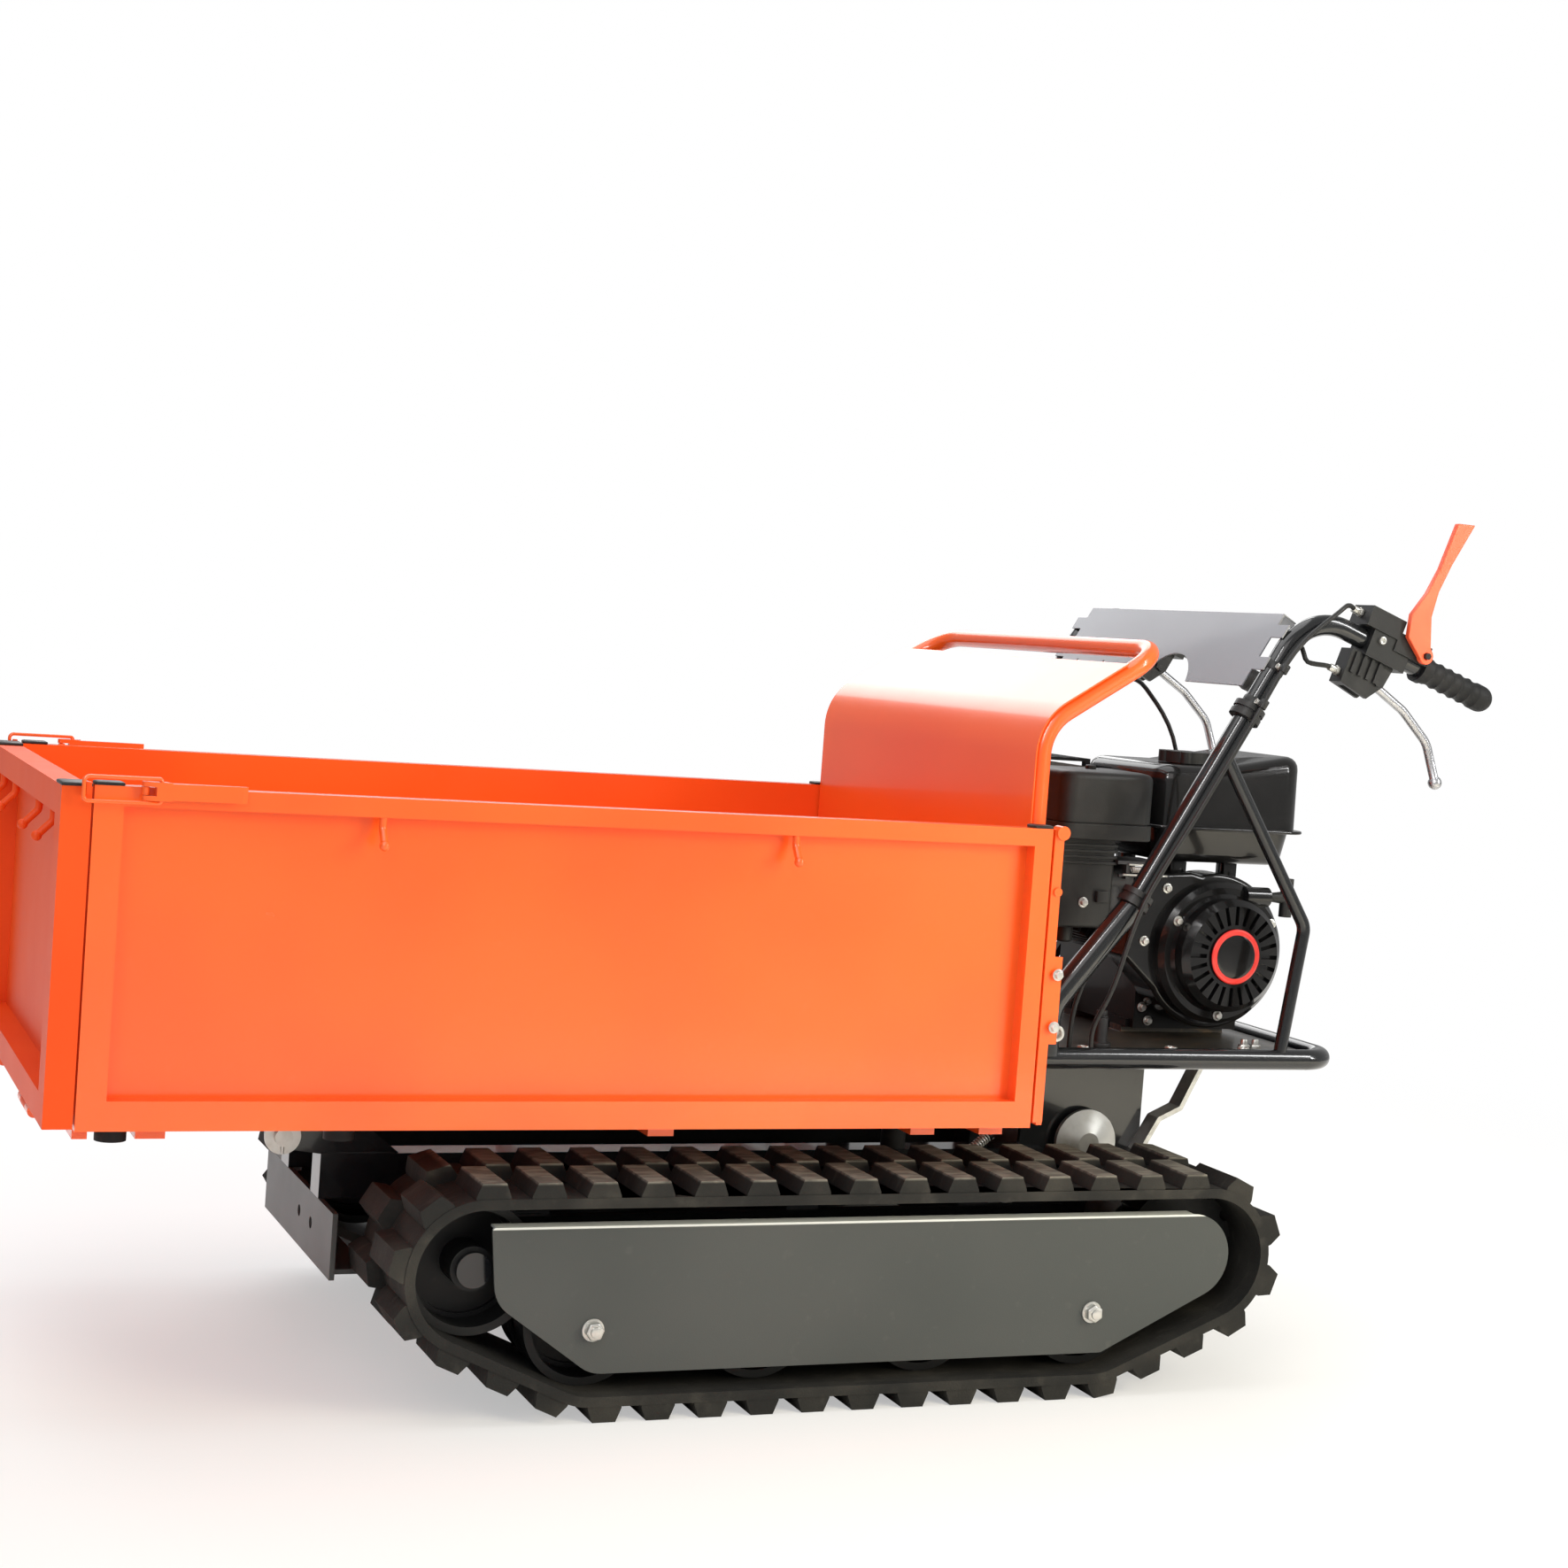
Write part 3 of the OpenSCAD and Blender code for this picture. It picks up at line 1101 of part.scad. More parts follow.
// Tray: floor, its rails and bars, hinge knuckles, tipping ears and the fixed rear corner posts
bar_h = 20;
tray_rear_x = bed_rear_x + 15;
corner_x = bed_rear_x + 3;
guard_sheet = 2;
sill_x = hoop_x - hoop_r - guard_sheet - 2;
sill_top = floor_z + floor_t + 1;
module tray_side() {
    for (x = side_hinge_x) fixed_knuckles(x, -hinge_y, hinge_z, -floor_y + cut);
    square_tube([tray_x0 + 32, -rail_y - rail_w / 2 + 2, bed_rail_z],
        [tray_rear_x - tray_x0 - 62, rail_w - 4, bed_rail_h], 0);
    tip_ear(-bed_ear_y - tip_ear_t, -bed_ear_y)
        translate([tip_x - tip_eye_r, tip_z]) square([2 * tip_eye_r, floor_z + cut - tip_z]);
    // Rear corner post with its bracket plate, bolts and top stud
    translate([corner_x, -panel_y, bed_z + 6]) cube([12, panel_t, bed_h - 6]);
    translate([corner_x, -panel_y, bed_z + 96]) cube([22, 4, 100]);
    for (z = [116, 176]) pin_y(corner_x + 15, bed_z + z, 6, -panel_y - 4, -panel_y + cut);
    pin_y(corner_x + 8, bed_z + 270, 5, -panel_y - 3, -panel_y + cut);
    pin_y(corner_x + 9, bed_top - 4, 8, -panel_y - 4, -panel_y + 12);
    translate([tray_rear_x - 8, -panel_y + cut, bed_top - 60]) cube([8, panel_y - hoop_y + 8, 40]);
}
module tray_bar(x) translate([x - 15, -floor_y + 10, floor_z - bar_h]) cube([30, 2 * floor_y - 20, bar_h]);
module bed_tray() color(paint) {
    both() tray_side();
    translate([tray_x0, -floor_y, floor_z]) cube([tray_rear_x - tray_x0, 2 * floor_y, floor_t]);
    for (x = [tray_x0 + 77, (tip_x + pad_x) / 2, pad_x - 60, tray_rear_x - 40]) tray_bar(x);
    // Sill that the hoop and the engine guard stand on
    translate([sill_x, -floor_y, floor_z]) cube([tray_rear_x - sill_x, 2 * floor_y, sill_top - floor_z]);
    // Bar under the front edge, with the tailgate's hinge knuckles
    translate([tray_x0, -floor_y + 10, floor_z - bar_h]) cube([15, 2 * floor_y - 20, bar_h + cut]);
    translate([tray_rear_x - 7, -panel_y + cut, floor_z]) cube([7, 2 * panel_y - 2 * cut, 40]);
    for (s = [-1, 1]) translate([gate_axis_x, s * gate_hinge_y, gate_axis_z]) rotate(90)
        fixed_knuckles(0, 0, 0, gate_axis_x - tray_x0 - cut);
}

// Hoop: one bent tube, from the floor up, back over the engine and down again
hoop_post = [hoop_x, bed_top + hoop_bend_rise];
hoop_bar = [hoop_x + hoop_back, bed_top + hoop_rise];
hoop_bend = 60;
hoop_corner = 50;
module bed_hoop() color(paint) {
    near = line_at_y([[hoop_x, sill_top], hoop_post, hoop_bar], -hoop_y);
    far = line_at_y([hoop_bar, hoop_post, [hoop_x, sill_top]], hoop_y);
    pipe(concat(near, far), hoop_r, [hoop_bend, hoop_corner, hoop_corner, hoop_bend]);
}

// Engine guard: one sheet up the front of the hoop, round its bend and up its slope
guard_half_y = min(hoop_y + hoop_r, panel_in_y - 2);
slope_a = atan2(hoop_bar[1] - hoop_post[1], hoop_bar[0] - hoop_post[0]);
guard_lead = hoop_bend * tan((90 - slope_a) / 2);
guard_arc = [hoop_x + hoop_bend, hoop_post[1] - guard_lead];
guard_r = hoop_bend + hoop_r;
module engine_guard() color(paint) slab(-guard_half_y, guard_half_y) {
    translate([hoop_x - hoop_r - guard_sheet, sill_top]) square([guard_sheet, guard_arc[1] - sill_top]);
    translate(guard_arc) {
        difference() {
            circle(r = guard_r + guard_sheet);
            circle(r = guard_r);
            translate([-200, -400]) square([400, 400]);
            rotate(90 + slope_a) translate([-300, -400]) square([600, 400]);
        }
        rotate(90 + slope_a) translate([guard_r, -guard_run]) square([guard_sheet, guard_run]);
    }
}

// Rubber buffers under the front of the bed
module bed_feet() color(rubber_dark) both() for (x = [44, 277])
    translate([bed_front_x + x, -floor_y + 26, floor_z - 24]) cylinder(r = 16, h = 24);

// Side panel: a frame with a sheet let into it, two rope hooks, hinge knuckles and the latch pivot
latch_x = bed_front_x + latch_back;
latch_z = bed_top - 3;
latch_y = panel_y + 6;
latch_eye_h = 8;
latch_pin_r = 2;
latch_eye_r = 3.5;
hook_x = [288, 745];
hook_l = 28;
hook_off = 13;
// Rope hook: a rod bent outwards (to local -Y) from under a rail, with a ball on its end
module rope_hook(off) {
    pipe([[0, 0, cut], [0, 0, -12], [0, -off, -hook_l]], hook_r, [8]);
    translate([0, -off, -hook_l]) sphere(r = hook_r + 1.5);
}
module side_panel() {
    difference() {
        translate([bed_front_x, -panel_y, bed_z]) cube([bed_l, panel_t, bed_h]);
        translate([bed_front_x + post_front_w, -panel_y - cut, bed_z + rail_bottom_h])
            cube([bed_l - post_front_w - post_rear_w, panel_t - sheet_t + cut, bed_h - rail_bottom_h - rail_top_h]);
    }
    for (x = side_hinge_x) panel_knuckle(x, -hinge_y, hinge_z, -panel_in_y - cut);
    for (x = hook_x) translate([bed_front_x + x, -panel_y + hook_r + 1, bed_top - rail_top_h])
        rope_hook(hook_off);
    // Latch pivot: an eye on the top rail with its pin
    translate([latch_x - latch_eye_r, -latch_y, latch_z - latch_eye_h / 2])
        cube([2 * latch_eye_r, latch_y - panel_y + cut, latch_eye_h]);
    translate([latch_x, -latch_y, latch_z - latch_eye_h / 2]) cylinder(r = latch_eye_r, h = latch_eye_h);
    translate([latch_x, -latch_y, latch_z - wire_z + 3]) cylinder(r = latch_pin_r, h = 2 * wire_z - 6);
}
module side_panel_left() color(paint) side_panel();
module side_panel_right() color(paint) right() side_panel();

// Tailgate: a frame and sheet across the front, with knuckles, hooks and the latch keepers
gate_rail_h = 30;
gate_post_w = 42;
gate_hook_off = 15.5;
gate_y = panel_y - 1;
wire_y = latch_y + latch_eye_r + wire_r + 0.4;
bail_x = gate_in_x - 10;
keeper_t = 5;
module tailgate() color(paint) {
    difference() {
        translate([gate_out_x, -gate_y, gate_z]) cube([gate_t, 2 * gate_y, bed_h - 4]);
        translate([gate_out_x - cut, -gate_y + gate_post_w, gate_z + gate_rail_h])
            cube([gate_t - sheet_t + cut, 2 * gate_y - 2 * gate_post_w, bed_h - 4 - 2 * gate_rail_h]);
    }
    for (s = [-1, 1]) {
        translate([gate_axis_x, s * gate_hinge_y, gate_axis_z]) rotate([90, 0, 90])
            panel_knuckle(0, 0, 0, knuckle_r + side_gap + cut);
        for (y = [110, 235]) translate([gate_out_x + hook_r + 1, s * y, bed_top - 2 - gate_rail_h])
            rotate(-90) rope_hook(gate_hook_off);
    }
    both() translate([bail_x + wire_r + keeper_gap, -wire_y + wire_r + keeper_gap, latch_z - 6])
        cube([keeper_t, wire_y - wire_r - keeper_gap - gate_y + cut, 12]);
}

// Latch lever: two ears on the panel's latch pin and a tapered handle
bail_pivot = [latch_x + 14, -wire_y];
lever_half_z = wire_z - wire_r - 0.8;
lever_out = wire_y + wire_r + 2 - latch_y;
wire_fit = 0.2;
module latch_lever() difference() {
    union() {
        translate([0, 0, latch_z - lever_half_z]) linear_extrude(2 * lever_half_z) {
            translate([latch_x, -latch_y]) circle(r = latch_eye_r + 0.7);
            polygon([[latch_x - 2.5, -latch_y - 4.5], [latch_x, -latch_y + 4], [latch_x + 20, -latch_y + 4],
                [latch_x + 24, -latch_y - lever_out], [latch_x + 8, -latch_y - lever_out]]);
        }
        translate([0, 0, latch_z - lever_half_z + 1]) linear_extrude(2 * lever_half_z - 2)
            polygon([[latch_x + 18, -latch_y + 4], [latch_x + latch_l, -latch_y - 1],
                [latch_x + latch_l + 5, -latch_y - 3], [latch_x + latch_l, -latch_y - 7],
                [latch_x + 18, -latch_y - lever_out]]);
    }
    // Slot for the eye, and the two bores
    translate([latch_x - 9, -latch_y - 12, latch_z - latch_eye_h / 2 - side_gap])
        cube([18, 24, latch_eye_h + 2 * side_gap]);
    translate([latch_x, -latch_y, latch_z - 20]) cylinder(r = latch_pin_r + run_fit, h = 40);
    translate([bail_pivot[0], bail_pivot[1], latch_z - 20]) cylinder(r = wire_r + wire_fit, h = 40);
}
module latch_lever_left() color(paint) latch_lever();
module latch_lever_right() color(paint) right() latch_lever();

// Latch bail: a bent wire from the lever's sides round the front of the keeper
module latch_bail() {
    top = latch_z + wire_z;
    low = latch_z - wire_z;
    y = bail_pivot[1];
    pipe([[bail_pivot[0], y, latch_z + 2], [bail_pivot[0], y, top], [bail_x, y, top], [bail_x, y, low],
        [bail_pivot[0], y, low], [bail_pivot[0], y, latch_z - 2]], wire_r, [3, 5, 5, 3]);
}
module latch_bail_left() color(paint) latch_bail();
module latch_bail_right() color(paint) right() latch_bail();

chassis_frame();
front_crossbeam();
tip_hinge_pin();
bed_rest_pads();
deck_plate();
deck_rail();
fasteners();
gearbox_case();
gearbox_strap();
brake_spring();
handlebar_left();
handlebar_right();
console_panel();
handle_grips();
tube_collars();
lever_housings();
control_cables();
track_left();
track_right();
track_frames();
track_guards();
drive_belt();
engine_block();
fan_cover();
recoil_cover();
fuel_tank();
air_cleaner();
carburettor();
muffler();
muffler_guard();
bed_tray();
bed_hoop();
engine_guard();
bed_feet();
side_panel_left();
side_panel_right();
tailgate();
latch_lever_left();
latch_lever_right();
latch_bail_left();
latch_bail_right();
drive_lever();
steering_lever_left();
steering_lever_right();
sprocket_left();
sprocket_right();
idler_left();
idler_right();
road_wheel_left_1();
road_wheel_left_2();
road_wheel_left_3();
road_wheel_left_4();
road_wheel_right_1();
road_wheel_right_2();
road_wheel_right_3();
road_wheel_right_4();
engine_pulley();
gearbox_pulley();
pull_handle();
fuel_cap();
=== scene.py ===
import bpy
import bmesh
import json
import math
from mathutils import Matrix, Vector

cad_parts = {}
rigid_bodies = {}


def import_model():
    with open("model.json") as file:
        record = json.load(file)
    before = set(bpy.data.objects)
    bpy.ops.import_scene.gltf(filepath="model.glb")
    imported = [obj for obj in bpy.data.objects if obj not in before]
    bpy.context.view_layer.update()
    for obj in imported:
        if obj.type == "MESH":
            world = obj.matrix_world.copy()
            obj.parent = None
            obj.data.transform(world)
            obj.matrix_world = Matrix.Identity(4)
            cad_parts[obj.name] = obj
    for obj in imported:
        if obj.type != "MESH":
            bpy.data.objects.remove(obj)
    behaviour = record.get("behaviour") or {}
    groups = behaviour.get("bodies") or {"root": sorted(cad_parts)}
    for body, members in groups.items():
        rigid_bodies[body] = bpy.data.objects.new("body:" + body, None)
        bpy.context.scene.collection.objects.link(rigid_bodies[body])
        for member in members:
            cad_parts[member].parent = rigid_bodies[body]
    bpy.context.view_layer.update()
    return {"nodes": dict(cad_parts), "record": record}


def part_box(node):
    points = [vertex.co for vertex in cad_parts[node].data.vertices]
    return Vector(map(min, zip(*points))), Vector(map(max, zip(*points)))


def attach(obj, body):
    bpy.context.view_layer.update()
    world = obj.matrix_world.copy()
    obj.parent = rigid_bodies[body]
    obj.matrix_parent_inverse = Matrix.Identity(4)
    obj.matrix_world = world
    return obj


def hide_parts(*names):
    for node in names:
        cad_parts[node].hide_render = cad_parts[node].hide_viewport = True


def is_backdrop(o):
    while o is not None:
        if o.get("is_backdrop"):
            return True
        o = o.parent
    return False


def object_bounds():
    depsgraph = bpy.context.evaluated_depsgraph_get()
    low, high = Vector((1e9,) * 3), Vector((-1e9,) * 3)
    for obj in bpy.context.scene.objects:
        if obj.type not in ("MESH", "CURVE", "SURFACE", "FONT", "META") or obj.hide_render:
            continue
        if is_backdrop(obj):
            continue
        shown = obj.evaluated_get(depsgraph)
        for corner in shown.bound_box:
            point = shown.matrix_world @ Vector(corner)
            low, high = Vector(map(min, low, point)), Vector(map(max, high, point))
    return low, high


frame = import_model()
bodyOf = {}
for bodyName, nodeNames in frame["record"]["behaviour"]["bodies"].items():
    for nodeName in nodeNames:
        bodyOf[nodeName] = bodyName
bpy.ops.object.select_all(action="DESELECT")
print("frame loaded:", len(frame["nodes"]), "nodes")


# a wrapped socket, so that shader maths reads as sums
class Wire:
    def __init__(self, finish, socket):
        self.finish = finish
        self.socket = socket

    def maths(self, operation, first, second):
        return self.finish.add("ShaderNodeMath", {"operation": operation}, {0: first, 1: second})

    def __add__(self, other):
        return self.maths("ADD", self, other)

    def __radd__(self, other):
        return self.maths("ADD", other, self)

    def __sub__(self, other):
        return self.maths("SUBTRACT", self, other)

    def __rsub__(self, other):
        return self.maths("SUBTRACT", other, self)

    def __mul__(self, other):
        return self.maths("MULTIPLY", self, other)

    def __rmul__(self, other):
        return self.maths("MULTIPLY", other, self)

    def between(self, low, high):
        settings = {"interpolation_type": "SMOOTHSTEP"}
        return self.finish.add("ShaderNodeMapRange", settings, {0: self, 1: low, 2: high})


# one material under construction
class Finish:
    def __init__(self, name):
        self.material = bpy.data.materials.new(name)
        self.material.use_nodes = True
        self.tree = self.material.node_tree
        self.shader = self.tree.nodes["Principled BSDF"]
        self.place = self.add("ShaderNodeTexCoord", {}, {}, "Object")

    def add(self, kind, settings, inputs, output=0):
        node = self.tree.nodes.new(kind)
        for key, value in settings.items():
            setattr(node, key, value)
        for key, value in inputs.items():
            self.feed(node.inputs[key], value)
        return Wire(self, node.outputs[output])

    def feed(self, socket, value):
        if isinstance(value, Wire):
            self.tree.links.new(value.socket, socket)
        else:
            socket.default_value = value

    def noise(self, scale, detail, place=None):
        inputs = {"Vector": place or self.place, "Scale": scale, "Detail": detail}
        return self.add("ShaderNodeTexNoise", {}, inputs)

    def stretch(self, amounts):
        return self.add("ShaderNodeMapping", {}, {"Vector": self.place, "Scale": amounts})

    def axis(self, letter):
        return self.add("ShaderNodeSeparateXYZ", {}, {0: self.place}, letter)

    # 0 below a height, 1 above it, given as two depths under the top
    def nearTop(self, top, depths):
        return self.axis("Z").between(top - depths[0], top - depths[1])

    def mix(self, share, first, second):
        return self.add("ShaderNodeMix", {"data_type": "RGBA"}, {0: share, 6: first, 7: second}, 2)

    def bump(self, height, strength, depth):
        return self.add("ShaderNodeBump", {}, {"Height": height, "Strength": strength, "Distance": depth})

    def surface(self, sockets):
        for key, value in sockets.items():
            self.feed(self.shader.inputs[key], value)
        return self.material


# a screen colour as linear light
def tint(red, green, blue):
    def linear(value):
        value = value / 255
        return value / 12.92 if value < 0.04045 else ((value + 0.055) / 1.055) ** 2.4
    return (linear(red), linear(green), linear(blue), 1)


# noises are (scale, detail), ranges are where a noise starts and ends to count
coatGrain = {"cloud": (3.0, 2.0), "cloudRange": (0.35, 0.7), "peelDetail": 2.0, "peelDepth": 0.0006,
             "smear": (14.0, 4.0), "dust": (60.0, 5.0), "dustRange": (0.62, 0.8), "scratch": (30.0, 6.0),
             "scratchStretch": (1.0, 7.0, 4.0), "scratchRange": (0.54, 0.66),
             "rubbedDepths": (0.0030, 0.0018), "rubbedShare": 0.8, "topRough": 0.06}


# powder coat: a fine orange peel, faint cloudiness, scratches, a clear top and, where a look asks for it, a
# painted highlight along the upper edge
def powderCoat(name, look):
    f = Finish(name)
    cloud = f.noise(*coatGrain["cloud"]).between(*coatGrain["cloudRange"])
    peel = f.noise(look["peelScale"], coatGrain["peelDetail"])
    smear = f.noise(*coatGrain["smear"])
    dust = f.noise(*coatGrain["dust"]).between(*coatGrain["dustRange"])
    scratch = f.noise(*coatGrain["scratch"], f.stretch(coatGrain["scratchStretch"]))
    scored = scratch.between(*coatGrain["scratchRange"])
    colour = f.mix(cloud, look["main"], look["second"])
    colour = f.mix(dust * look["dust"], colour, look["dustTint"])
    colour = f.mix(scored * look.get("scratch", 0.0), colour, look["dustTint"])
    # painted highlight: near-white paint in a thin band along the top edge, where the flange catches the
    # light
    if "rubbedAt" in look:
        paintedHighlight = f.nearTop(look["rubbedAt"], coatGrain["rubbedDepths"]) * coatGrain["rubbedShare"]
        colour = f.mix(paintedHighlight, colour, look["rubbedTint"])
    rough = look["rough"] + smear * look["roughSpread"]
    normal = f.bump(peel, look["peel"], coatGrain["peelDepth"])
    return f.surface({"Base Color": colour, "Roughness": rough, "Normal": normal,
                      "Coat Weight": look["coat"], "Coat Roughness": coatGrain["topRough"],
                      "Specular IOR Level": look["shine"]})


orangeLook = {"main": tint(249, 102, 34), "second": tint(244, 92, 30), "peelScale": 420.0, "peel": 0.08,
              "rough": 0.20, "roughSpread": 0.10, "coat": 0.4, "shine": 0.5, "dust": 0.02,
              "dustTint": tint(250, 150, 100)}
anthraciteLook = {"main": tint(70, 73, 73), "second": tint(62, 66, 66), "peelScale": 700.0, "peel": 0.16,
                  "rough": 0.34, "roughSpread": 0.14, "coat": 0.1, "shine": 0.35, "dust": 0.10,
                  "dustTint": tint(120, 118, 112)}
tubeLook = {"main": tint(26, 28, 31), "second": tint(20, 22, 25), "peelScale": 650.0, "peel": 0.015,
            "rough": 0.14, "roughSpread": 0.08, "coat": 0.5, "shine": 0.4, "dust": 0.06,
            "dustTint": tint(96, 94, 90)}
consoleLook = dict(anthraciteLook, main=tint(134, 137, 144), second=tint(124, 127, 134), coat=0.35,
                   rough=0.24)
# the track guards get the painted highlight, a near-white band along their top edge
guardLook = dict(anthraciteLook, rubbedAt=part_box("track_guards")[1][2], rubbedTint=tint(226, 232, 232))
deckLook = dict(anthraciteLook, main=tint(58, 57, 55), second=tint(44, 43, 42), dust=0.35, scratch=0.5,
                dustTint=tint(112, 92, 70), rough=0.28)
# tailgate: a darker copy of the bed's orange, painted shade for the gate's side that stands in shade; no
# clear top, and rougher
shadedGateLook = dict(orangeLook, main=tint(236, 84, 26), second=tint(230, 76, 22), coat=0.0, rough=0.42,
                shine=0.2)
wheelLook = dict(tubeLook, main=tint(30, 31, 32), second=tint(24, 25, 26), rough=0.38, coat=0.0, shine=0.25)
engineLook = dict(tubeLook, main=tint(22, 22, 23), second=tint(17, 17, 18), rough=0.34, coat=0.1, shine=0.25)
steelLook = dict(tubeLook, rough=0.5, coat=0.0, shine=0.25)
orangePaint = powderCoat("orangePaint", orangeLook)
anthracitePaint = powderCoat("anthracitePaint", anthraciteLook)
tubePaint = powderCoat("tubePaint", tubeLook)
consolePaint = powderCoat("consolePaint", consoleLook)
guardPaint = powderCoat("guardPaint", guardLook)
deckPaint = powderCoat("deckPaint", deckLook)
gatePaint = powderCoat("gatePaint", shadedGateLook)
wheelPaint = powderCoat("wheelPaint", wheelLook)
enginePaint = powderCoat("enginePaint", engineLook)
blackSteel = powderCoat("blackSteel", steelLook)

rubberGrain = {"patchDetail": 6.0, "patchRange": (0.42, 0.72), "grain": (420.0, 4.0), "scuff": (36.0, 6.0),
               "scuffStretch": (1.0, 3.0, 1.0), "scuffRange": (0.55, 0.75), "wornDepths": (0.004, 0.001),
               "wornShare": 0.45, "wornSpread": 0.5, "wornRange": (0.40, 0.60), "grainRough": 0.16,
               "bumpShare": 0.5, "bumpDepth": 0.002, "shine": 0.22}


# moulded rubber with dust rubbed into it, paler where it wears on top
def rubberFinish(name, look):
    f = Finish(name)
    patch = f.noise(look["patchScale"], rubberGrain["patchDetail"]).between(*rubberGrain["patchRange"])
    grain = f.noise(*rubberGrain["grain"])
    scuff = f.noise(*rubberGrain["scuff"], f.stretch(rubberGrain["scuffStretch"]))
    share = patch * look["dust"] + scuff.between(*rubberGrain["scuffRange"]) * look["scuff"]
    colour = f.mix(share, look["main"], look["dustTint"])
    if "wornAt" in look:
        worn = f.nearTop(look["wornAt"], rubberGrain["wornDepths"])
        patchy = scuff.between(*rubberGrain["wornRange"]) * rubberGrain["wornSpread"]
        colour = f.mix(worn * (rubberGrain["wornShare"] + patchy), colour, look["wornTint"])
    rough = look["rough"] + grain * rubberGrain["grainRough"]
    height = grain * rubberGrain["bumpShare"] + scuff * rubberGrain["bumpShare"]
    normal = f.bump(height, look["bump"], rubberGrain["bumpDepth"])
    return f.surface({"Base Color": colour, "Roughness": rough, "Normal": normal,
                      "Specular IOR Level": rubberGrain["shine"]})


trackLook = {"main": tint(33, 33, 32), "dustTint": tint(72, 70, 65), "patchScale": 9.0, "dust": 0.45,
             "scuff": 0.30, "rough": 0.66, "bump": 0.35, "wornAt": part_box("track_left")[1][2],
             "wornTint": tint(122, 119, 112)}
gripLook = {"main": tint(27, 28, 30), "dustTint": tint(54, 54, 56), "patchScale": 20.0, "dust": 0.25,
            "scuff": 0.2, "rough": 0.46, "bump": 0.2}
trackRubber = rubberFinish("trackRubber", trackLook)
gripRubber = rubberFinish("gripRubber", gripLook)

plasticGrain = {"grainDetail": 3.0, "grainDepth": 0.0005, "haze": (22.0, 5.0), "hazeRange": (0.45, 0.75),
                "topRough": 0.05}


# plastics, from glossy covers to a grained housing
def plasticFinish(name, look):
    f = Finish(name)
    grain = f.noise(look["grainScale"], plasticGrain["grainDetail"])
    haze = f.noise(*plasticGrain["haze"])
    dulled = haze.between(*plasticGrain["hazeRange"]) * look["haze"]
    colour = f.mix(dulled, look["main"], look["hazeTint"])
    rough = look["rough"] + haze * look["roughSpread"]
    normal = f.bump(grain, look["grain"], plasticGrain["grainDepth"])
    return f.surface({"Base Color": colour, "Roughness": rough, "Normal": normal,
                      "Coat Weight": look["coat"], "Coat Roughness": plasticGrain["topRough"],
                      "Specular IOR Level": look["shine"]})


glossLook = {"main": tint(18, 18, 19), "hazeTint": tint(36, 36, 38), "haze": 0.3, "grainScale": 300.0,
             "grain": 0.03, "rough": 0.12, "roughSpread": 0.08, "coat": 0.3, "shine": 0.3}
satinLook = {"main": tint(34, 35, 36), "hazeTint": tint(58, 58, 60), "haze": 0.3, "grainScale": 900.0,
             "grain": 0.25, "rough": 0.36, "roughSpread": 0.12, "coat": 0.0, "shine": 0.32}
leverLook = {"main": tint(243, 90, 50), "hazeTint": tint(248, 118, 78), "haze": 0.25, "grainScale": 500.0,
             "grain": 0.04, "rough": 0.32, "roughSpread": 0.12, "coat": 0.1, "shine": 0.5}
redLook = dict(leverLook, main=tint(214, 38, 30), hazeTint=tint(228, 70, 58), coat=0.4)
glossBlack = plasticFinish("glossBlack", glossLook)
satinBlack = plasticFinish("satinBlack", satinLook)
orangePlastic = plasticFinish("orangePlastic", leverLook)
redPlastic = plasticFinish("redPlastic", redLook)

metalGrain = {"grainDetail": 5.0, "grainDepth": 0.0008, "stainDetail": 5.0, "stainRange": (0.4, 0.75),
              "brush": (90.0, 4.0), "brushStretch": (1.0, 1.0, 14.0)}


# bare metals: cast, zinc plated, polished, heat stained
def metalFinish(name, look):
    f = Finish(name)
    grain = f.noise(look["grainScale"], metalGrain["grainDetail"])
    stain = f.noise(look["stainScale"], metalGrain["stainDetail"])
    brush = f.noise(*metalGrain["brush"], f.stretch(metalGrain["brushStretch"]))
    stained = stain.between(*metalGrain["stainRange"]) * look["stain"]
    colour = f.mix(stained, look["main"], look["stainTint"])
    rough = look["rough"] + stain * look["roughSpread"] + brush * look["brush"]
    normal = f.bump(grain, look["grain"], metalGrain["grainDepth"])
    return f.surface({"Base Color": colour, "Roughness": rough, "Normal": normal, "Metallic": look["metal"]})


castLook = {"main": tint(140, 141, 142), "stainTint": tint(84, 82, 78), "stain": 0.6, "stainScale": 18.0,
            "grainScale": 380.0, "grain": 0.5, "rough": 0.46, "roughSpread": 0.2, "brush": 0.0, "metal": 0.8}
darkCastLook = dict(castLook, main=tint(74, 74, 76), stainTint=tint(40, 38, 36))
zincLook = {"main": tint(208, 208, 204), "stainTint": tint(160, 156, 144), "stain": 0.4, "stainScale": 60.0,
            "grainScale": 600.0, "grain": 0.1, "rough": 0.24, "roughSpread": 0.16, "brush": 0.1,
            "metal": 0.85}
polishLook = {"main": tint(186, 187, 190), "stainTint": tint(150, 150, 152), "stain": 0.2,
              "stainScale": 12.0, "grainScale": 300.0, "grain": 0.0, "rough": 0.34, "roughSpread": 0.06,
              "brush": 0.0, "metal": 0.95}
mufflerLook = {"main": tint(120, 116, 110), "stainTint": tint(84, 66, 52), "stain": 0.7, "stainScale": 14.0,
               "grainScale": 240.0, "grain": 0.3, "rough": 0.44, "roughSpread": 0.2, "brush": 0.1,
               "metal": 0.9}
castAlloy = metalFinish("castAlloy", castLook)
darkAlloy = metalFinish("darkAlloy", darkCastLook)
zincSteel = metalFinish("zincSteel", zincLook)
polishedAlloy = metalFinish("polishedAlloy", polishLook)
mufflerSteel = metalFinish("mufflerSteel", mufflerLook)
print("finishes made:", len(bpy.data.materials))

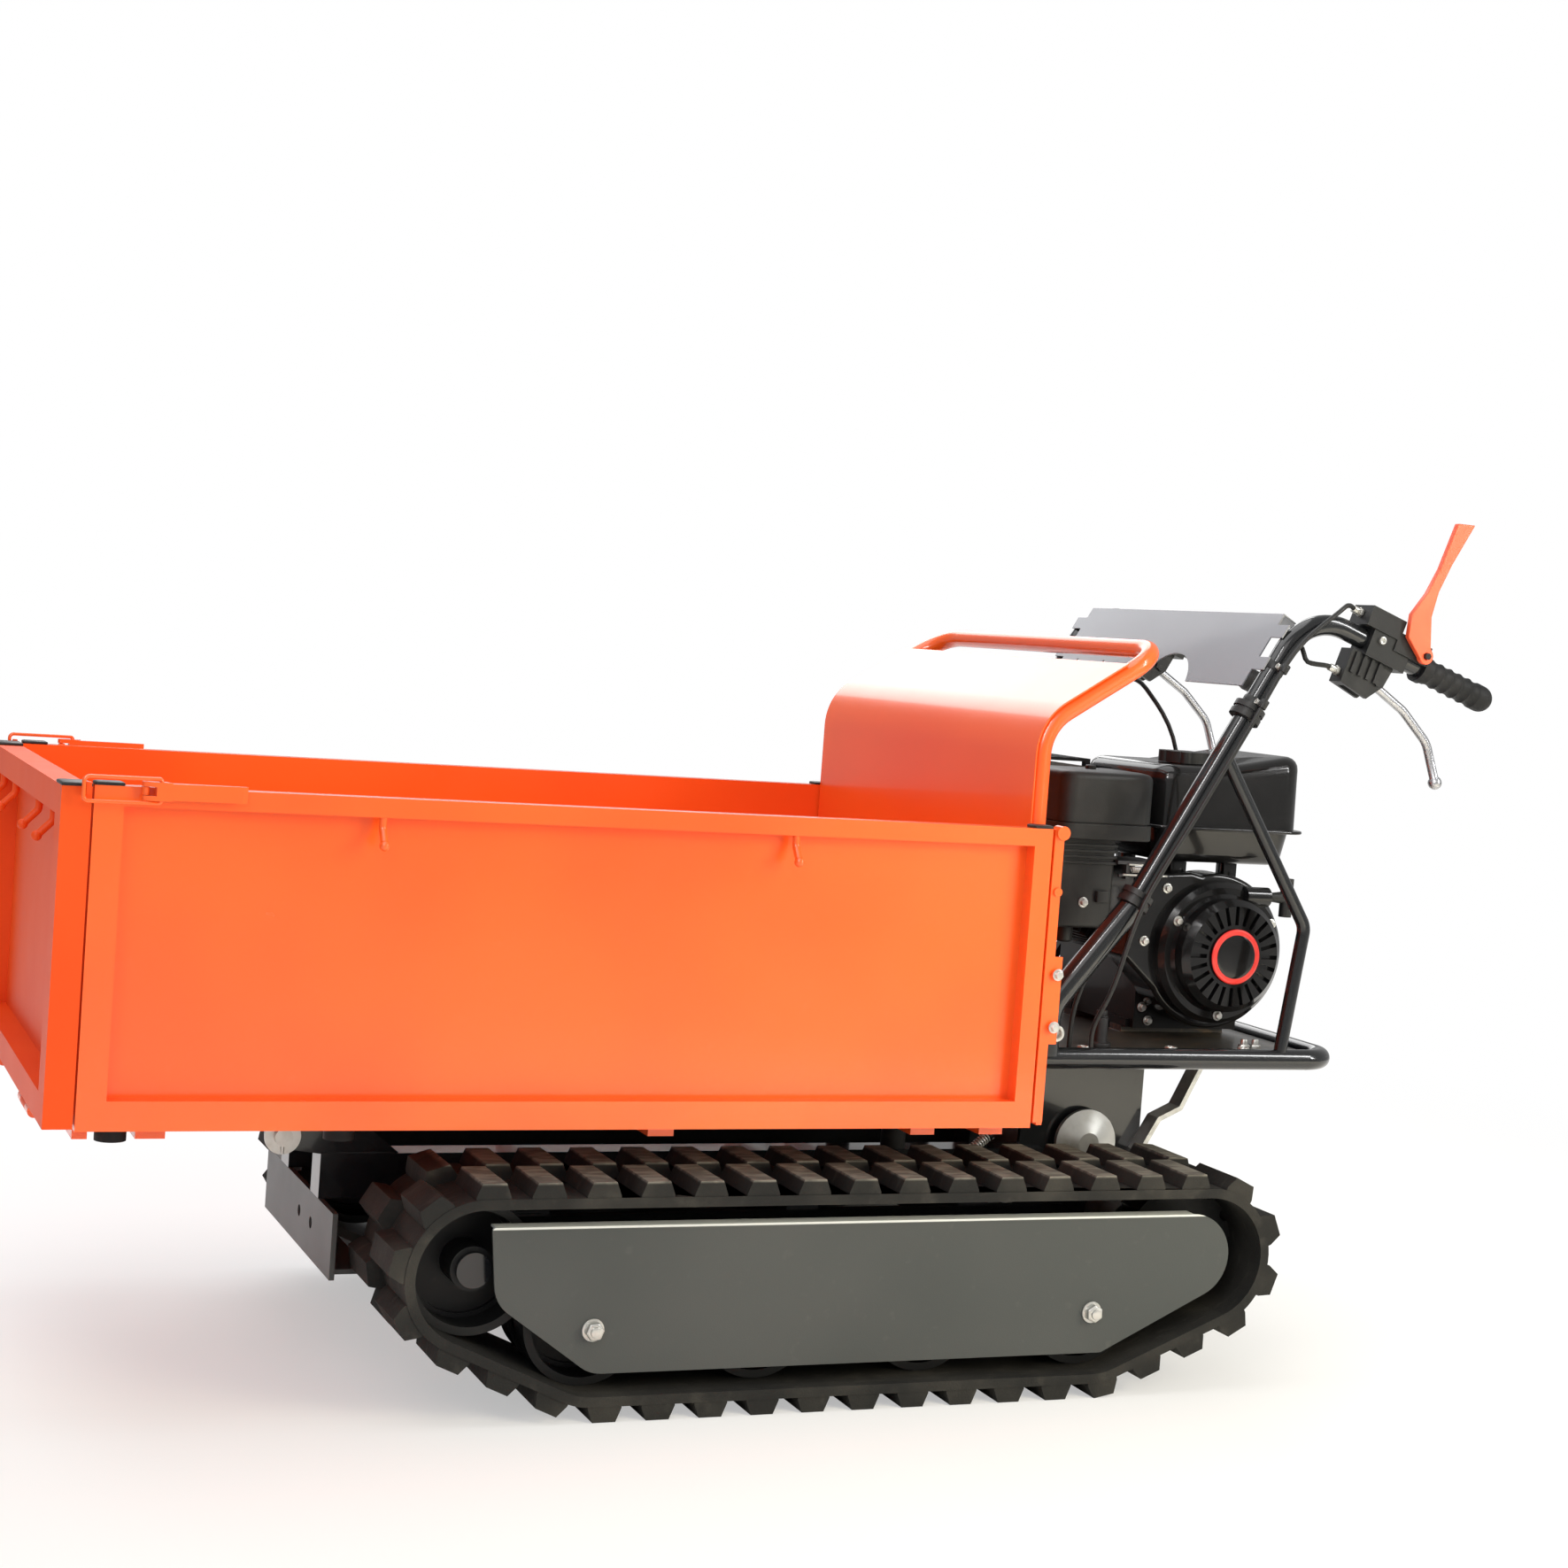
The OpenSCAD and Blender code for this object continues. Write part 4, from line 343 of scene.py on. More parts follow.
slotFinish = {"orange_paint": orangePaint, "anthracite_paint": anthracitePaint, "black_paint": tubePaint,
              "track_rubber": trackRubber, "black_rubber": gripRubber, "gloss_black": glossBlack,
              "satin_black": satinBlack, "black_steel": blackSteel, "zinc_steel": zincSteel,
              "cast_alloy": castAlloy, "dull_steel": mufflerSteel, "polished_alloy": polishedAlloy,
              "orange_plastic": orangePlastic}
nodeFinish = {"track_guards": guardPaint, "deck_plate": deckPaint, "engine_block": enginePaint,
              "carburettor": darkAlloy, "console_panel": consolePaint, "tailgate": gatePaint}
finishOf = {}
for entry in frame["record"]["subparts"]:
    nodeName = entry["node"]
    finishOf[nodeName] = nodeFinish.get(nodeName, slotFinish[entry["material_slot"]])
    if nodeName.startswith(("road_wheel", "idler", "sprocket")):
        finishOf[nodeName] = wheelPaint
for nodeName, node in frame["nodes"].items():
    for slot in node.material_slots:
        slot.material = finishOf[nodeName]


def pick(*objects):
    bpy.ops.object.select_all(action="DESELECT")
    for item in objects:
        item.select_set(True)
    bpy.context.view_layer.objects.active = objects[-1]


def applyAll(piece):
    pick(piece)
    for modifier in list(piece.modifiers):
        bpy.ops.object.modifier_apply(modifier=modifier.name)


def smoothBy(degrees):
    bpy.ops.object.shade_smooth_by_angle(angle=math.radians(degrees))


def dress(piece, finish, body):
    piece.data.materials.clear()
    piece.data.materials.append(finish)
    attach(piece, body)
    return piece


# a bevel on every edge sharper than the angle, then smooth shading
def roundOver(piece, width, segments=2, angle=30, smooth=35, miter="MITER_SHARP"):
    bevel = piece.modifiers.new("roundOver", "BEVEL")
    bevel.width = width
    bevel.segments = segments
    bevel.limit_method = "ANGLE"
    bevel.angle_limit = math.radians(angle)
    bevel.miter_outer = miter
    applyAll(piece)
    smoothBy(smooth)
    return piece


# the large faces set the shading, so a flat face beside a round edge looks flat
def evenShade(piece):
    weighted = piece.modifiers.new("evenShade", "WEIGHTED_NORMAL")
    weighted.keep_sharp = True
    applyAll(piece)
    return piece


# angles in degrees, the merge distance in metres
copyRules = {"merge": 0.00002, "flat": 0.6, "sharp": 32, "rodSmooth": 62}


# a merged copy of a node's mesh, which takes the node's place
def nodeCopy(nodeName, ending):
    pick(frame["nodes"][nodeName])
    bpy.ops.object.duplicate()
    piece = bpy.context.view_layer.objects.active
    piece.name = nodeName + ending
    bpy.ops.object.parent_clear(type="CLEAR_KEEP_TRANSFORM")
    bpy.ops.mesh.customdata_custom_splitnormals_clear()
    bpy.ops.object.mode_set(mode="EDIT")
    bpy.ops.mesh.select_all(action="SELECT")
    bpy.ops.mesh.remove_doubles(threshold=copyRules["merge"])
    bpy.ops.object.mode_set(mode="OBJECT")
    dress(piece, finishOf[nodeName], bodyOf[nodeName])
    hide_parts(nodeName)
    return piece


def roundedCopy(nodeName, edge):
    piece = nodeCopy(nodeName, ".rounded")
    bpy.ops.object.mode_set(mode="EDIT")
    bpy.ops.mesh.select_all(action="SELECT")
    bpy.ops.mesh.dissolve_limited(angle_limit=math.radians(copyRules["flat"]))
    bpy.ops.object.mode_set(mode="OBJECT")
    sharp = copyRules["sharp"]
    return evenShade(roundOver(piece, edge["width"], edge["segments"], sharp, sharp, "MITER_ARC"))


edgeSizes = {
    "side_panel_left": {"width": 0.0022, "segments": 3},
    "side_panel_right": {"width": 0.0022, "segments": 3},
    "tailgate": {"width": 0.0022, "segments": 3},
    "track_left": {"width": 0.0026, "segments": 2},
    "track_right": {"width": 0.0026, "segments": 2},
    "track_guards": {"width": 0.0010, "segments": 2},
    "front_crossbeam": {"width": 0.0014, "segments": 2},
    "deck_plate": {"width": 0.0014, "segments": 2},
    "bed_tray": {"width": 0.0010, "segments": 2},
    "engine_guard": {"width": 0.0007, "segments": 2},
    "latch_lever_left": {"width": 0.0012, "segments": 2},
    "latch_lever_right": {"width": 0.0012, "segments": 2},
    "drive_lever": {"width": 0.0024, "segments": 3},
    "console_panel": {"width": 0.0007, "segments": 2},
    "fan_cover": {"width": 0.0060, "segments": 3},
    "lever_housings": {"width": 0.0012, "segments": 2},
}
for nodeName, edge in edgeSizes.items():
    roundedCopy(nodeName, edge)
print("edges rounded:", len(edgeSizes))

# swept rods have flat sides, so their copies are shaded smooth across them
sweptNodes = ["control_cables", "steering_lever_left", "steering_lever_right", "brake_spring"]
for nodeName in sweptNodes:
    nodeCopy(nodeName, ".smooth")
    smoothBy(copyRules["rodSmooth"])
print("swept rods smoothed:", len(sweptNodes))

# how far along Z a normal or an edge counts as upright or level, and two small distances
along = {"upright": 0.9, "level": 0.99}
hair = 0.0001
pastCut = 0.001
rightAngle = math.radians(90)


def pickFaces(piece, test):
    bpy.ops.mesh.select_mode(type="FACE")
    bpy.ops.mesh.select_all(action="DESELECT")
    shell = bmesh.from_edit_mesh(piece.data)
    for face in shell.faces:
        face.select_set(test(face))
    bmesh.update_edit_mesh(piece.data)


def pickEdges(piece, test):
    bpy.ops.mesh.select_mode(type="EDGE")
    bpy.ops.mesh.select_all(action="DESELECT")
    shell = bmesh.from_edit_mesh(piece.data)
    for edge in shell.edges:
        first, second = edge.verts
        edge.select_set(test(first.co, second.co))
    bmesh.update_edit_mesh(piece.data)


def facesUp(face):
    return face.normal.z > along["upright"]


def facesDown(face):
    return face.normal.z < -along["upright"]


def liesLevel(face):
    return face.normal.z > along["level"]


def upright(first, second):
    return abs((first - second).normalized().z) > along["upright"]


def levelAt(height):
    return lambda first, second: abs(first.z - height) < hair and abs(second.z - height) < hair


# the place and turn of the active object go into its mesh
def settle(name):
    bpy.ops.object.transform_apply(location=True, rotation=True, scale=True)
    bpy.context.object.name = name
    return bpy.context.object


def moveTo(piece, place):
    pick(piece)
    piece.location = place
    return settle(piece.name)


def copyTo(model, place, axis, roll=0.0):
    pick(model)
    bpy.ops.object.duplicate()
    twin = bpy.context.object
    turn = Vector(axis).to_track_quat("Z", "Y").to_matrix() @ Matrix.Rotation(math.radians(roll), 3, "Z")
    twin.rotation_euler = turn.to_euler()
    twin.location = place
    return settle(model.name + ".copy")


def gather(name, pieces):
    pick(*pieces)
    if len(pieces) > 1:
        bpy.ops.object.join()
    bpy.context.object.name = name
    return bpy.context.object


def discard(*models):
    pick(*models)
    bpy.ops.object.delete()


def startRod(radius, depth, sides=32, base=0.0):
    bpy.ops.object.select_all(action="DESELECT")
    bpy.ops.mesh.primitive_cylinder_add(vertices=sides, radius=radius, depth=depth,
                                        location=(0, 0, base + depth / 2))
    return settle("rod")


def startBlock(low, high):
    bpy.ops.object.select_all(action="DESELECT")
    middle = [(a + b) / 2 for a, b in zip(low, high)]
    bpy.ops.mesh.primitive_cube_add(size=1, location=middle)
    bpy.context.object.scale = [b - a for a, b in zip(low, high)]
    return settle("block")


# an upright rod with rounded rims, standing at its place
def placedRod(size):
    rod = startRod(size["radius"], size["height"], size["sides"])
    return moveTo(roundOver(rod, size["edge"], size["edgeSteps"]), size["place"])


# insets, depths, crowns and the socket screw's edge are shares of a head's size, other edges are in metres
boltShape = {"socketInset": 0.42, "socketDepth": 0.6, "socketEdge": 0.12, "nutInset": 0.16, "headInset": 0.2,
             "crown": 0.1, "flangeEdge": 0.0006, "nutEdge": 0.0007, "headEdge": 0.0004, "studEdge": 0.0012,
             "edgeSteps": 2, "hexAngle": 20, "hexSides": 6, "studSides": 24}


# six-sided head or nut with turned corners, on Z = base
def hexHead(radius, height, base, inset, edge):
    head = startRod(radius, height, boltShape["hexSides"], base)
    bpy.ops.object.mode_set(mode="EDIT")
    pickFaces(head, facesUp)
    bpy.ops.mesh.inset(thickness=radius * inset, depth=radius * boltShape["crown"])
    bpy.ops.object.mode_set(mode="OBJECT")
    return roundOver(head, edge, boltShape["edgeSteps"], boltShape["hexAngle"])


# socket-head screw, standing on Z = 0
def capScrew(name, size):
    piece = startRod(size["radius"], size["height"])
    depth = -size["height"] * boltShape["socketDepth"]
    bpy.ops.object.mode_set(mode="EDIT")
    pickFaces(piece, facesUp)
    bpy.ops.mesh.inset(thickness=size["radius"] * boltShape["socketInset"])
    bpy.ops.mesh.extrude_region_move(TRANSFORM_OT_translate={"value": (0, 0, depth)})
    bpy.ops.object.mode_set(mode="OBJECT")
    roundOver(piece, size["radius"] * boltShape["socketEdge"])
    piece.name = name
    return piece


# washer, nut and the stud's end
def studNut(name, size):
    base = size["washerHeight"]
    washer = roundOver(startRod(size["washer"], base), boltShape["flangeEdge"])
    nut = hexHead(size["nut"], size["nutHeight"], base, boltShape["nutInset"], boltShape["nutEdge"])
    stud = startRod(size["stud"], size["studHeight"], boltShape["studSides"], base)
    return gather(name, [washer, nut, roundOver(stud, boltShape["studEdge"])])


# flange bolt: six-sided head on a round flange
def flangeBolt(name, size):
    base = size["flangeHeight"]
    flange = roundOver(startRod(size["flange"], base), boltShape["flangeEdge"])
    head = hexHead(size["head"], size["headHeight"], base, boltShape["headInset"], boltShape["headEdge"])
    return gather(name, [flange, head])


deckBolts = {"radius": 0.0075, "height": 0.0075, "x": [0.350, 0.470, 0.572], "y": 0.2295, "z": 0.383}
guardNuts = {"washer": 0.0125, "washerHeight": 0.002, "nut": 0.0105, "nutHeight": 0.008, "stud": 0.006,
             "studHeight": 0.0115, "x": [-0.275, 0.331], "y": 0.329, "z": 0.097, "roll": 11, "rollPerX": 40}
clampBolts = {"radius": 0.0095, "height": 0.010, "x": 0.285, "y": 0.270, "z": 0.4125}
stayNuts = {"washer": 0.0085, "washerHeight": 0.0016, "nut": 0.0075, "nutHeight": 0.006, "stud": 0.0042,
            "studHeight": 0.013, "x": [0.584, 0.600], "y": 0.212, "z": 0.383, "rollPerX": 300}
screwModel = capScrew("deckScrew", deckBolts)
nutModel = studNut("guardNut", guardNuts)
clampModel = capScrew("clampScrew", clampBolts)
stayModel = studNut("stayNut", stayNuts)
bolts = []
for side in (-1, 1):
    for x in deckBolts["x"]:
        bolts.append(copyTo(screwModel, (x, side * deckBolts["y"], deckBolts["z"]), (0, 0, 1)))
    for x in guardNuts["x"]:
        roll = guardNuts["roll"] * side + guardNuts["rollPerX"] * x
        bolts.append(copyTo(nutModel, (x, side * guardNuts["y"], guardNuts["z"]), (0, side, 0), roll))
    clampPlace = (clampBolts["x"], side * clampBolts["y"], clampBolts["z"])
    bolts.append(copyTo(clampModel, clampPlace, (0, side, 0)))
    for x in stayNuts["x"]:
        roll = stayNuts["rollPerX"] * x
        bolts.append(copyTo(stayModel, (x, side * stayNuts["y"], stayNuts["z"]), (0, 0, 1), roll))
allBolts = dress(gather("zincBolts", bolts), zincSteel, "carrier")
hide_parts("fasteners")
discard(screwModel, nutModel, clampModel, stayModel)

# bolts through the brackets at the bed's rear corners
bracketBolts = {"flange": 0.0068, "flangeHeight": 0.0015, "head": 0.005, "headHeight": 0.004, "x": 0.251,
                "y": 0.3305, "z": [0.428, 0.488], "rollPerZ": 900}
bracketModel = flangeBolt("bracketBolt", bracketBolts)
bracketHeads = []
for side in (-1, 1):
    for z in bracketBolts["z"]:
        bracketPlace = (bracketBolts["x"], side * bracketBolts["y"], z)
        roll = bracketBolts["rollPerZ"] * z
        bracketHeads.append(copyTo(bracketModel, bracketPlace, (0, side, 0), roll))
dress(gather("bracketBolts", bracketHeads), zincSteel, bodyOf["bed_tray"])
discard(bracketModel)
print("bolts placed:", len(bolts) + len(bracketHeads))

# engine foot: a stepped post with a nut, standing on the deck beside the engine
mountPost = {"foot": 0.0135, "footHeight": 0.006, "post": 0.0085, "height": 0.036, "sides": 40,
             "edge": 0.0012, "edgeSteps": 3, "washer": 0.008, "washerHeight": 0.002, "nut": 0.007,
             "nutHeight": 0.006, "stud": 0.004, "studHeight": 0.010, "place": (0.394, -0.190, 0.383)}
postModel = startRod(mountPost["foot"], mountPost["footHeight"], mountPost["sides"])
bpy.ops.object.mode_set(mode="EDIT")
pickFaces(postModel, facesUp)
bpy.ops.mesh.inset(thickness=mountPost["foot"] - mountPost["post"])
postRise = mountPost["height"] - mountPost["footHeight"]
bpy.ops.mesh.extrude_region_move(TRANSFORM_OT_translate={"value": (0, 0, postRise)})
bpy.ops.object.mode_set(mode="OBJECT")
roundOver(postModel, mountPost["edge"], mountPost["edgeSteps"])
postNut = moveTo(studNut("postNut", mountPost), (0, 0, mountPost["height"]))
enginePost = gather("enginePost", [postNut, postModel])
moveTo(enginePost, mountPost["place"])
dress(enginePost, darkAlloy, "carrier")

# starter badge: a raised red ring round a plain black disc
badge = {"centre": (0.570, -0.199, 0.497), "ring": 0.0300, "bead": 0.0042, "flat": 0.45, "ringSteps": 72,
         "beadSteps": 14, "disc": 0.0275, "discRise": 0.0012, "discSides": 64, "discInset": 0.004,
         "discCrown": 0.0005, "discEdge": 0.0004}
bpy.ops.object.select_all(action="DESELECT")
bpy.ops.mesh.primitive_torus_add(major_radius=badge["ring"], minor_radius=badge["bead"],
                                 major_segments=badge["ringSteps"], minor_segments=badge["beadSteps"],
                                 location=badge["centre"], rotation=(rightAngle, 0, 0))
ringPiece = bpy.context.object
ringPiece.scale = (1, 1, badge["flat"])
ringPiece = settle("badgeRing")
bpy.ops.object.shade_smooth()
dress(ringPiece, redPlastic, bodyOf["recoil_cover"])
discModel = startRod(badge["disc"], badge["discRise"], badge["discSides"])
bpy.ops.object.mode_set(mode="EDIT")
pickFaces(discModel, facesUp)
bpy.ops.mesh.inset(thickness=badge["discInset"], depth=badge["discCrown"])
bpy.ops.object.mode_set(mode="OBJECT")
roundOver(discModel, badge["discEdge"])
badgeDisc = copyTo(discModel, badge["centre"], (0, -1, 0))
discard(discModel)
badgeDisc.name = "badgeDisc"
dress(badgeDisc, glossBlack, bodyOf["recoil_cover"])

# flange bolts of the engine's covers: on the fan cover, the starter's rim, the crankcase and the choke box
coverBolts = {"flange": 0.0064, "flangeHeight": 0.0016, "head": 0.0046, "headHeight": 0.0045, "roll": 17,
              "fan": {"y": -0.150, "spots": [(0.495, 0.574), (0.468, 0.508)]},
              "rim": {"y": -0.168, "centre": (0.570, 0.497), "radius": 0.0775, "angles": [30, 150, 270]},
              "crankcase": {"y": -0.0955, "spots": [(0.505, 0.418), (0.515, 0.401)]},
              "choke": {"y": -0.173, "spots": [(0.365, 0.5555)]}}
boltModel = flangeBolt("coverBolt", coverBolts)
places = []
for cover in ("fan", "crankcase", "choke"):
    places += [(x, coverBolts[cover]["y"], z) for x, z in coverBolts[cover]["spots"]]
rim = coverBolts["rim"]
for angle in rim["angles"]:
    out = Vector((math.cos(math.radians(angle)), math.sin(math.radians(angle)))) * rim["radius"]
    places.append((rim["centre"][0] + out.x, rim["y"], rim["centre"][1] + out.y))
heads = []
for number, place in enumerate(places):
    heads.append(copyTo(boltModel, place, (0, -1, 0), coverBolts["roll"] * number))
dress(gather("coverBolts", heads), zincSteel, "carrier")
discard(boltModel)
print("engine badge and bolts placed:", len(heads))

# strips under the floor's edges that close the slots beside the drop sides, clear of the hinges
floorEdges = {"x": [(-0.820, -0.700), (-0.608, 0.017), (0.109, 0.212)], "y": (0.2880, 0.3022),
              "z": (0.3145, 0.3185), "edge": 0.0008}
strips = []
for side in (-1, 1):
    near, far = sorted(side * y for y in floorEdges["y"])
    for start, end in floorEdges["x"]:
        strip = startBlock((start, near, floorEdges["z"][0]), (end, far, floorEdges["z"][1]))
        strips.append(roundOver(strip, floorEdges["edge"]))
dress(gather("floorEdges", strips), orangePaint, bodyOf["bed_tray"])
print("floor edges placed:", len(strips))

# black plastic caps in the open ends of the bed's corner posts
postCaps = {"height": 0.003, "inset": 0.003, "crown": 0.0008, "edge": 0.0009, "edgeSteps": 3, "spots": [
    ("tailgate", (-0.8555, -0.3265, 0.651), (-0.8255, -0.2835, 0.651)),
    ("tailgate", (-0.8555, 0.2835, 0.651), (-0.8255, 0.3265, 0.651)),
    ("side_panel_left", (-0.8235, -0.3270, 0.653), (-0.7950, -0.3040, 0.653)),
    ("side_panel_right", (-0.8235, 0.3040, 0.653), (-0.7950, 0.3270, 0.653)),
    ("side_panel_left", (0.2105, -0.3270, 0.653), (0.2330, -0.3040, 0.653)),
    ("side_panel_right", (0.2105, 0.3040, 0.653), (0.2330, 0.3270, 0.653))]}
for number, (nodeName, low, high) in enumerate(postCaps["spots"]):
    cap = startBlock(low, (high[0], high[1], high[2] + postCaps["height"]))
    bpy.ops.object.mode_set(mode="EDIT")
    pickFaces(cap, facesUp)
    bpy.ops.mesh.inset(thickness=postCaps["inset"], depth=postCaps["crown"])
    bpy.ops.object.mode_set(mode="OBJECT")
    roundOver(cap, postCaps["edge"], postCaps["edgeSteps"])
    cap.name = "postCap%d" % number
    dress(cap, satinBlack, bodyOf[nodeName])
print("post caps placed:", len(postCaps["spots"]))


# the top falls away beyond one cut across it
def slopeTop(piece, topZ, slope):
    bpy.ops.mesh.select_all(action="SELECT")
    bpy.ops.mesh.bisect(plane_co=(slope["from"], 0, 0), plane_no=(1, 0, 0))
    bpy.ops.mesh.select_mode(type="VERT")
    bpy.ops.mesh.select_all(action="DESELECT")
    shell = bmesh.from_edit_mesh(piece.data)
    for corner in shell.verts:
        corner.select_set(corner.co.z > topZ - hair and corner.co.x > slope["from"] + pastCut)
    bmesh.update_edit_mesh(piece.data)
    bpy.ops.transform.rotate(value=math.radians(slope["degrees"]), orient_axis="Y",
                             center_override=(slope["from"], 0, topZ))


boxSteps = {"corner": 6, "foot": 4, "rim": 5, "smooth": 40}


# moulded box: wide rounds on its corners, a softer round on its rims, a crowned or sloping top
def mouldedBox(shape):
    piece = startBlock(shape["low"], shape["high"])
    bpy.ops.object.mode_set(mode="EDIT")
    pickEdges(piece, upright)
    cornerSteps = shape.get("cornerSteps", boxSteps["corner"])
    bpy.ops.mesh.bevel(offset=shape["corner"], segments=cornerSteps, affect="EDGES")
    if "taper" in shape:
        pickFaces(piece, facesDown)
        bpy.ops.transform.resize(value=(shape["taper"], shape["taper"], 1))
    if "foot" in shape:
        pickEdges(piece, levelAt(shape["low"][2]))
        bpy.ops.mesh.bevel(offset=shape["foot"], segments=boxSteps["foot"], affect="EDGES")
    if "slope" in shape:
        slopeTop(piece, shape["high"][2], shape["slope"])
    if "rim" in shape:
        pickFaces(piece, facesUp)
        bpy.ops.mesh.region_to_loop()
        bpy.ops.mesh.bevel(offset=shape["rim"], segments=boxSteps["rim"], affect="EDGES")
    if "crown" in shape:
        pickFaces(piece, liesLevel)
        bpy.ops.mesh.inset(thickness=shape["crownIn"], depth=shape["crown"])
    bpy.ops.object.mode_set(mode="OBJECT")
    smoothBy(boxSteps["smooth"])
    return piece


fuelTank = {"upper": {"low": (0.480, -0.142, 0.650), "high": (0.690, 0.062, 0.726), "corner": 0.028,
                      "rim": 0.018, "slope": {"from": 0.570, "degrees": 10}},
            "lip": {"low": (0.472, -0.150, 0.647), "high": (0.698, 0.070, 0.651), "corner": 0.030,
                    "rim": 0.0015, "foot": 0.0015},
            "lower": {"low": (0.486, -0.136, 0.605), "high": (0.684, 0.056, 0.648), "corner": 0.026,
                      "foot": 0.012, "taper": 0.93},
            "neck": {"radius": 0.024, "height": 0.014, "sides": 40, "edge": 0.001, "edgeSteps": 2,
                     "place": (0.552, -0.075, 0.721)},
            "legs": {"x": [0.534, 0.612], "y": [-0.090, 0.030], "side": 0.020, "z": (0.559, 0.612),
                     "edge": 0.002}}
upperHalf = mouldedBox(fuelTank["upper"])
lipRing = mouldedBox(fuelTank["lip"])
lowerHalf = mouldedBox(fuelTank["lower"])
neck = placedRod(fuelTank["neck"])
legSize = fuelTank["legs"]
legs = []
for x in legSize["x"]:
    for y in legSize["y"]:
        corner = (x + legSize["side"], y + legSize["side"], legSize["z"][1])
        legs.append(roundOver(startBlock((x, y, legSize["z"][0]), corner), legSize["edge"]))
tankPiece = gather("fuelTank", [upperHalf, lowerHalf, neck, *legs, lipRing])
dress(tankPiece, glossBlack, "carrier")
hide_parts("fuel_tank")

airCleaner = {"lid": {"low": (0.3235, -0.1835, 0.653), "high": (0.4505, -0.0705, 0.7135), "corner": 0.018,
                      "rim": 0.009, "crown": 0.0012, "crownIn": 0.007},
              "flange": {"low": (0.322, -0.185, 0.632), "high": (0.452, -0.069, 0.6515), "corner": 0.018,
                         "rim": 0.0012, "foot": 0.0025},
              "waist": {"low": (0.326, -0.181, 0.646), "high": (0.448, -0.073, 0.659), "corner": 0.016},
              "choke": {"low": (0.330, -0.173, 0.524), "high": (0.406, -0.081, 0.636), "corner": 0.006,
                        "cornerSteps": 3, "foot": 0.005},
              "latch": {"low": (0.381, -0.179, 0.556), "high": (0.397, -0.172, 0.570), "corner": 0.002,
                        "cornerSteps": 2, "rim": 0.001, "foot": 0.001},
              "rib": {"corner": 0.007, "cornerSteps": 3, "rim": 0.0008, "foot": 0.0008},
              "ribs": {"count": 4, "top": 0.6265, "height": 0.0035, "pitch": 0.007,
                       "low": (0.327, -0.176), "high": (0.409, -0.078)},
              "knob": {"radius": 0.007, "height": 0.006, "sides": 6, "edge": 0.0015, "edgeSteps": 3,
                       "place": (0.387, -0.127, 0.7135)},
              "bowl": {"radius": 0.0105, "height": 0.023, "sides": 40, "edge": 0.004, "edgeSteps": 4,
                       "place": (0.368, -0.127, 0.502)}}
lid = mouldedBox(airCleaner["lid"])
flangeBand = mouldedBox(airCleaner["flange"])
waist = mouldedBox(airCleaner["waist"])
choke = mouldedBox(airCleaner["choke"])
latch = mouldedBox(airCleaner["latch"])
ribRow = airCleaner["ribs"]
ribs = []
for number in range(ribRow["count"]):
    ribTop = ribRow["top"] - ribRow["pitch"] * number
    ribLow = (*ribRow["low"], ribTop - ribRow["height"])
    ribs.append(mouldedBox(dict(airCleaner["rib"], low=ribLow, high=(*ribRow["high"], ribTop))))
knob = placedRod(airCleaner["knob"])
bowl = placedRod(airCleaner["bowl"])
airPiece = gather("airCleaner", [flangeBand, waist, choke, latch, *ribs, knob, bowl, lid])
dress(airPiece, satinBlack, "carrier")
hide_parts("air_cleaner")
print("tank and air cleaner moulded")

# governor spring and two rods beside the carburettor
linkage = {"coil": 0.0034, "wire": 0.0007, "wireSides": 8, "pitch": 0.0022, "turns": 15, "turnSteps": 14,
           "merge": 0.00001, "springAt": (0.424, -0.181, 0.598), "rod": 0.0013, "rodSides": 12,
           "rodEdge": 0.0003, "rods": [((0.412, -0.182, 0.5915), 0.062), ((0.420, -0.181, 0.604), 0.050)]}
bpy.ops.object.select_all(action="DESELECT")
bpy.ops.mesh.primitive_circle_add(vertices=linkage["wireSides"], radius=linkage["wire"], fill_type="NOTHING",
                                  location=(linkage["coil"], 0, 0), rotation=(rightAngle, 0, 0))
coil = settle("coil")
winding = coil.modifiers.new("winding", "SCREW")
winding.axis = "Z"
winding.steps = linkage["turnSteps"]
winding.render_steps = linkage["turnSteps"]
winding.iterations = linkage["turns"]
winding.screw_offset = linkage["pitch"]
applyAll(coil)
bpy.ops.object.mode_set(mode="EDIT")
bpy.ops.mesh.select_all(action="SELECT")
bpy.ops.mesh.remove_doubles(threshold=linkage["merge"])
bpy.ops.mesh.fill_holes(sides=0)
bpy.ops.mesh.select_all(action="SELECT")
bpy.ops.mesh.normals_make_consistent(inside=False)
bpy.ops.object.mode_set(mode="OBJECT")
smoothBy(copyRules["rodSmooth"])
linkPieces = [copyTo(coil, linkage["springAt"], (1, 0, 0))]
discard(coil)
for place, length in linkage["rods"]:
    rodModel = roundOver(startRod(linkage["rod"], length, linkage["rodSides"]), linkage["rodEdge"])
    linkPieces.append(copyTo(rodModel, place, (1, 0, 0)))
    discard(rodModel)
dress(gather("governorLinkage", linkPieces), zincSteel, "carrier")

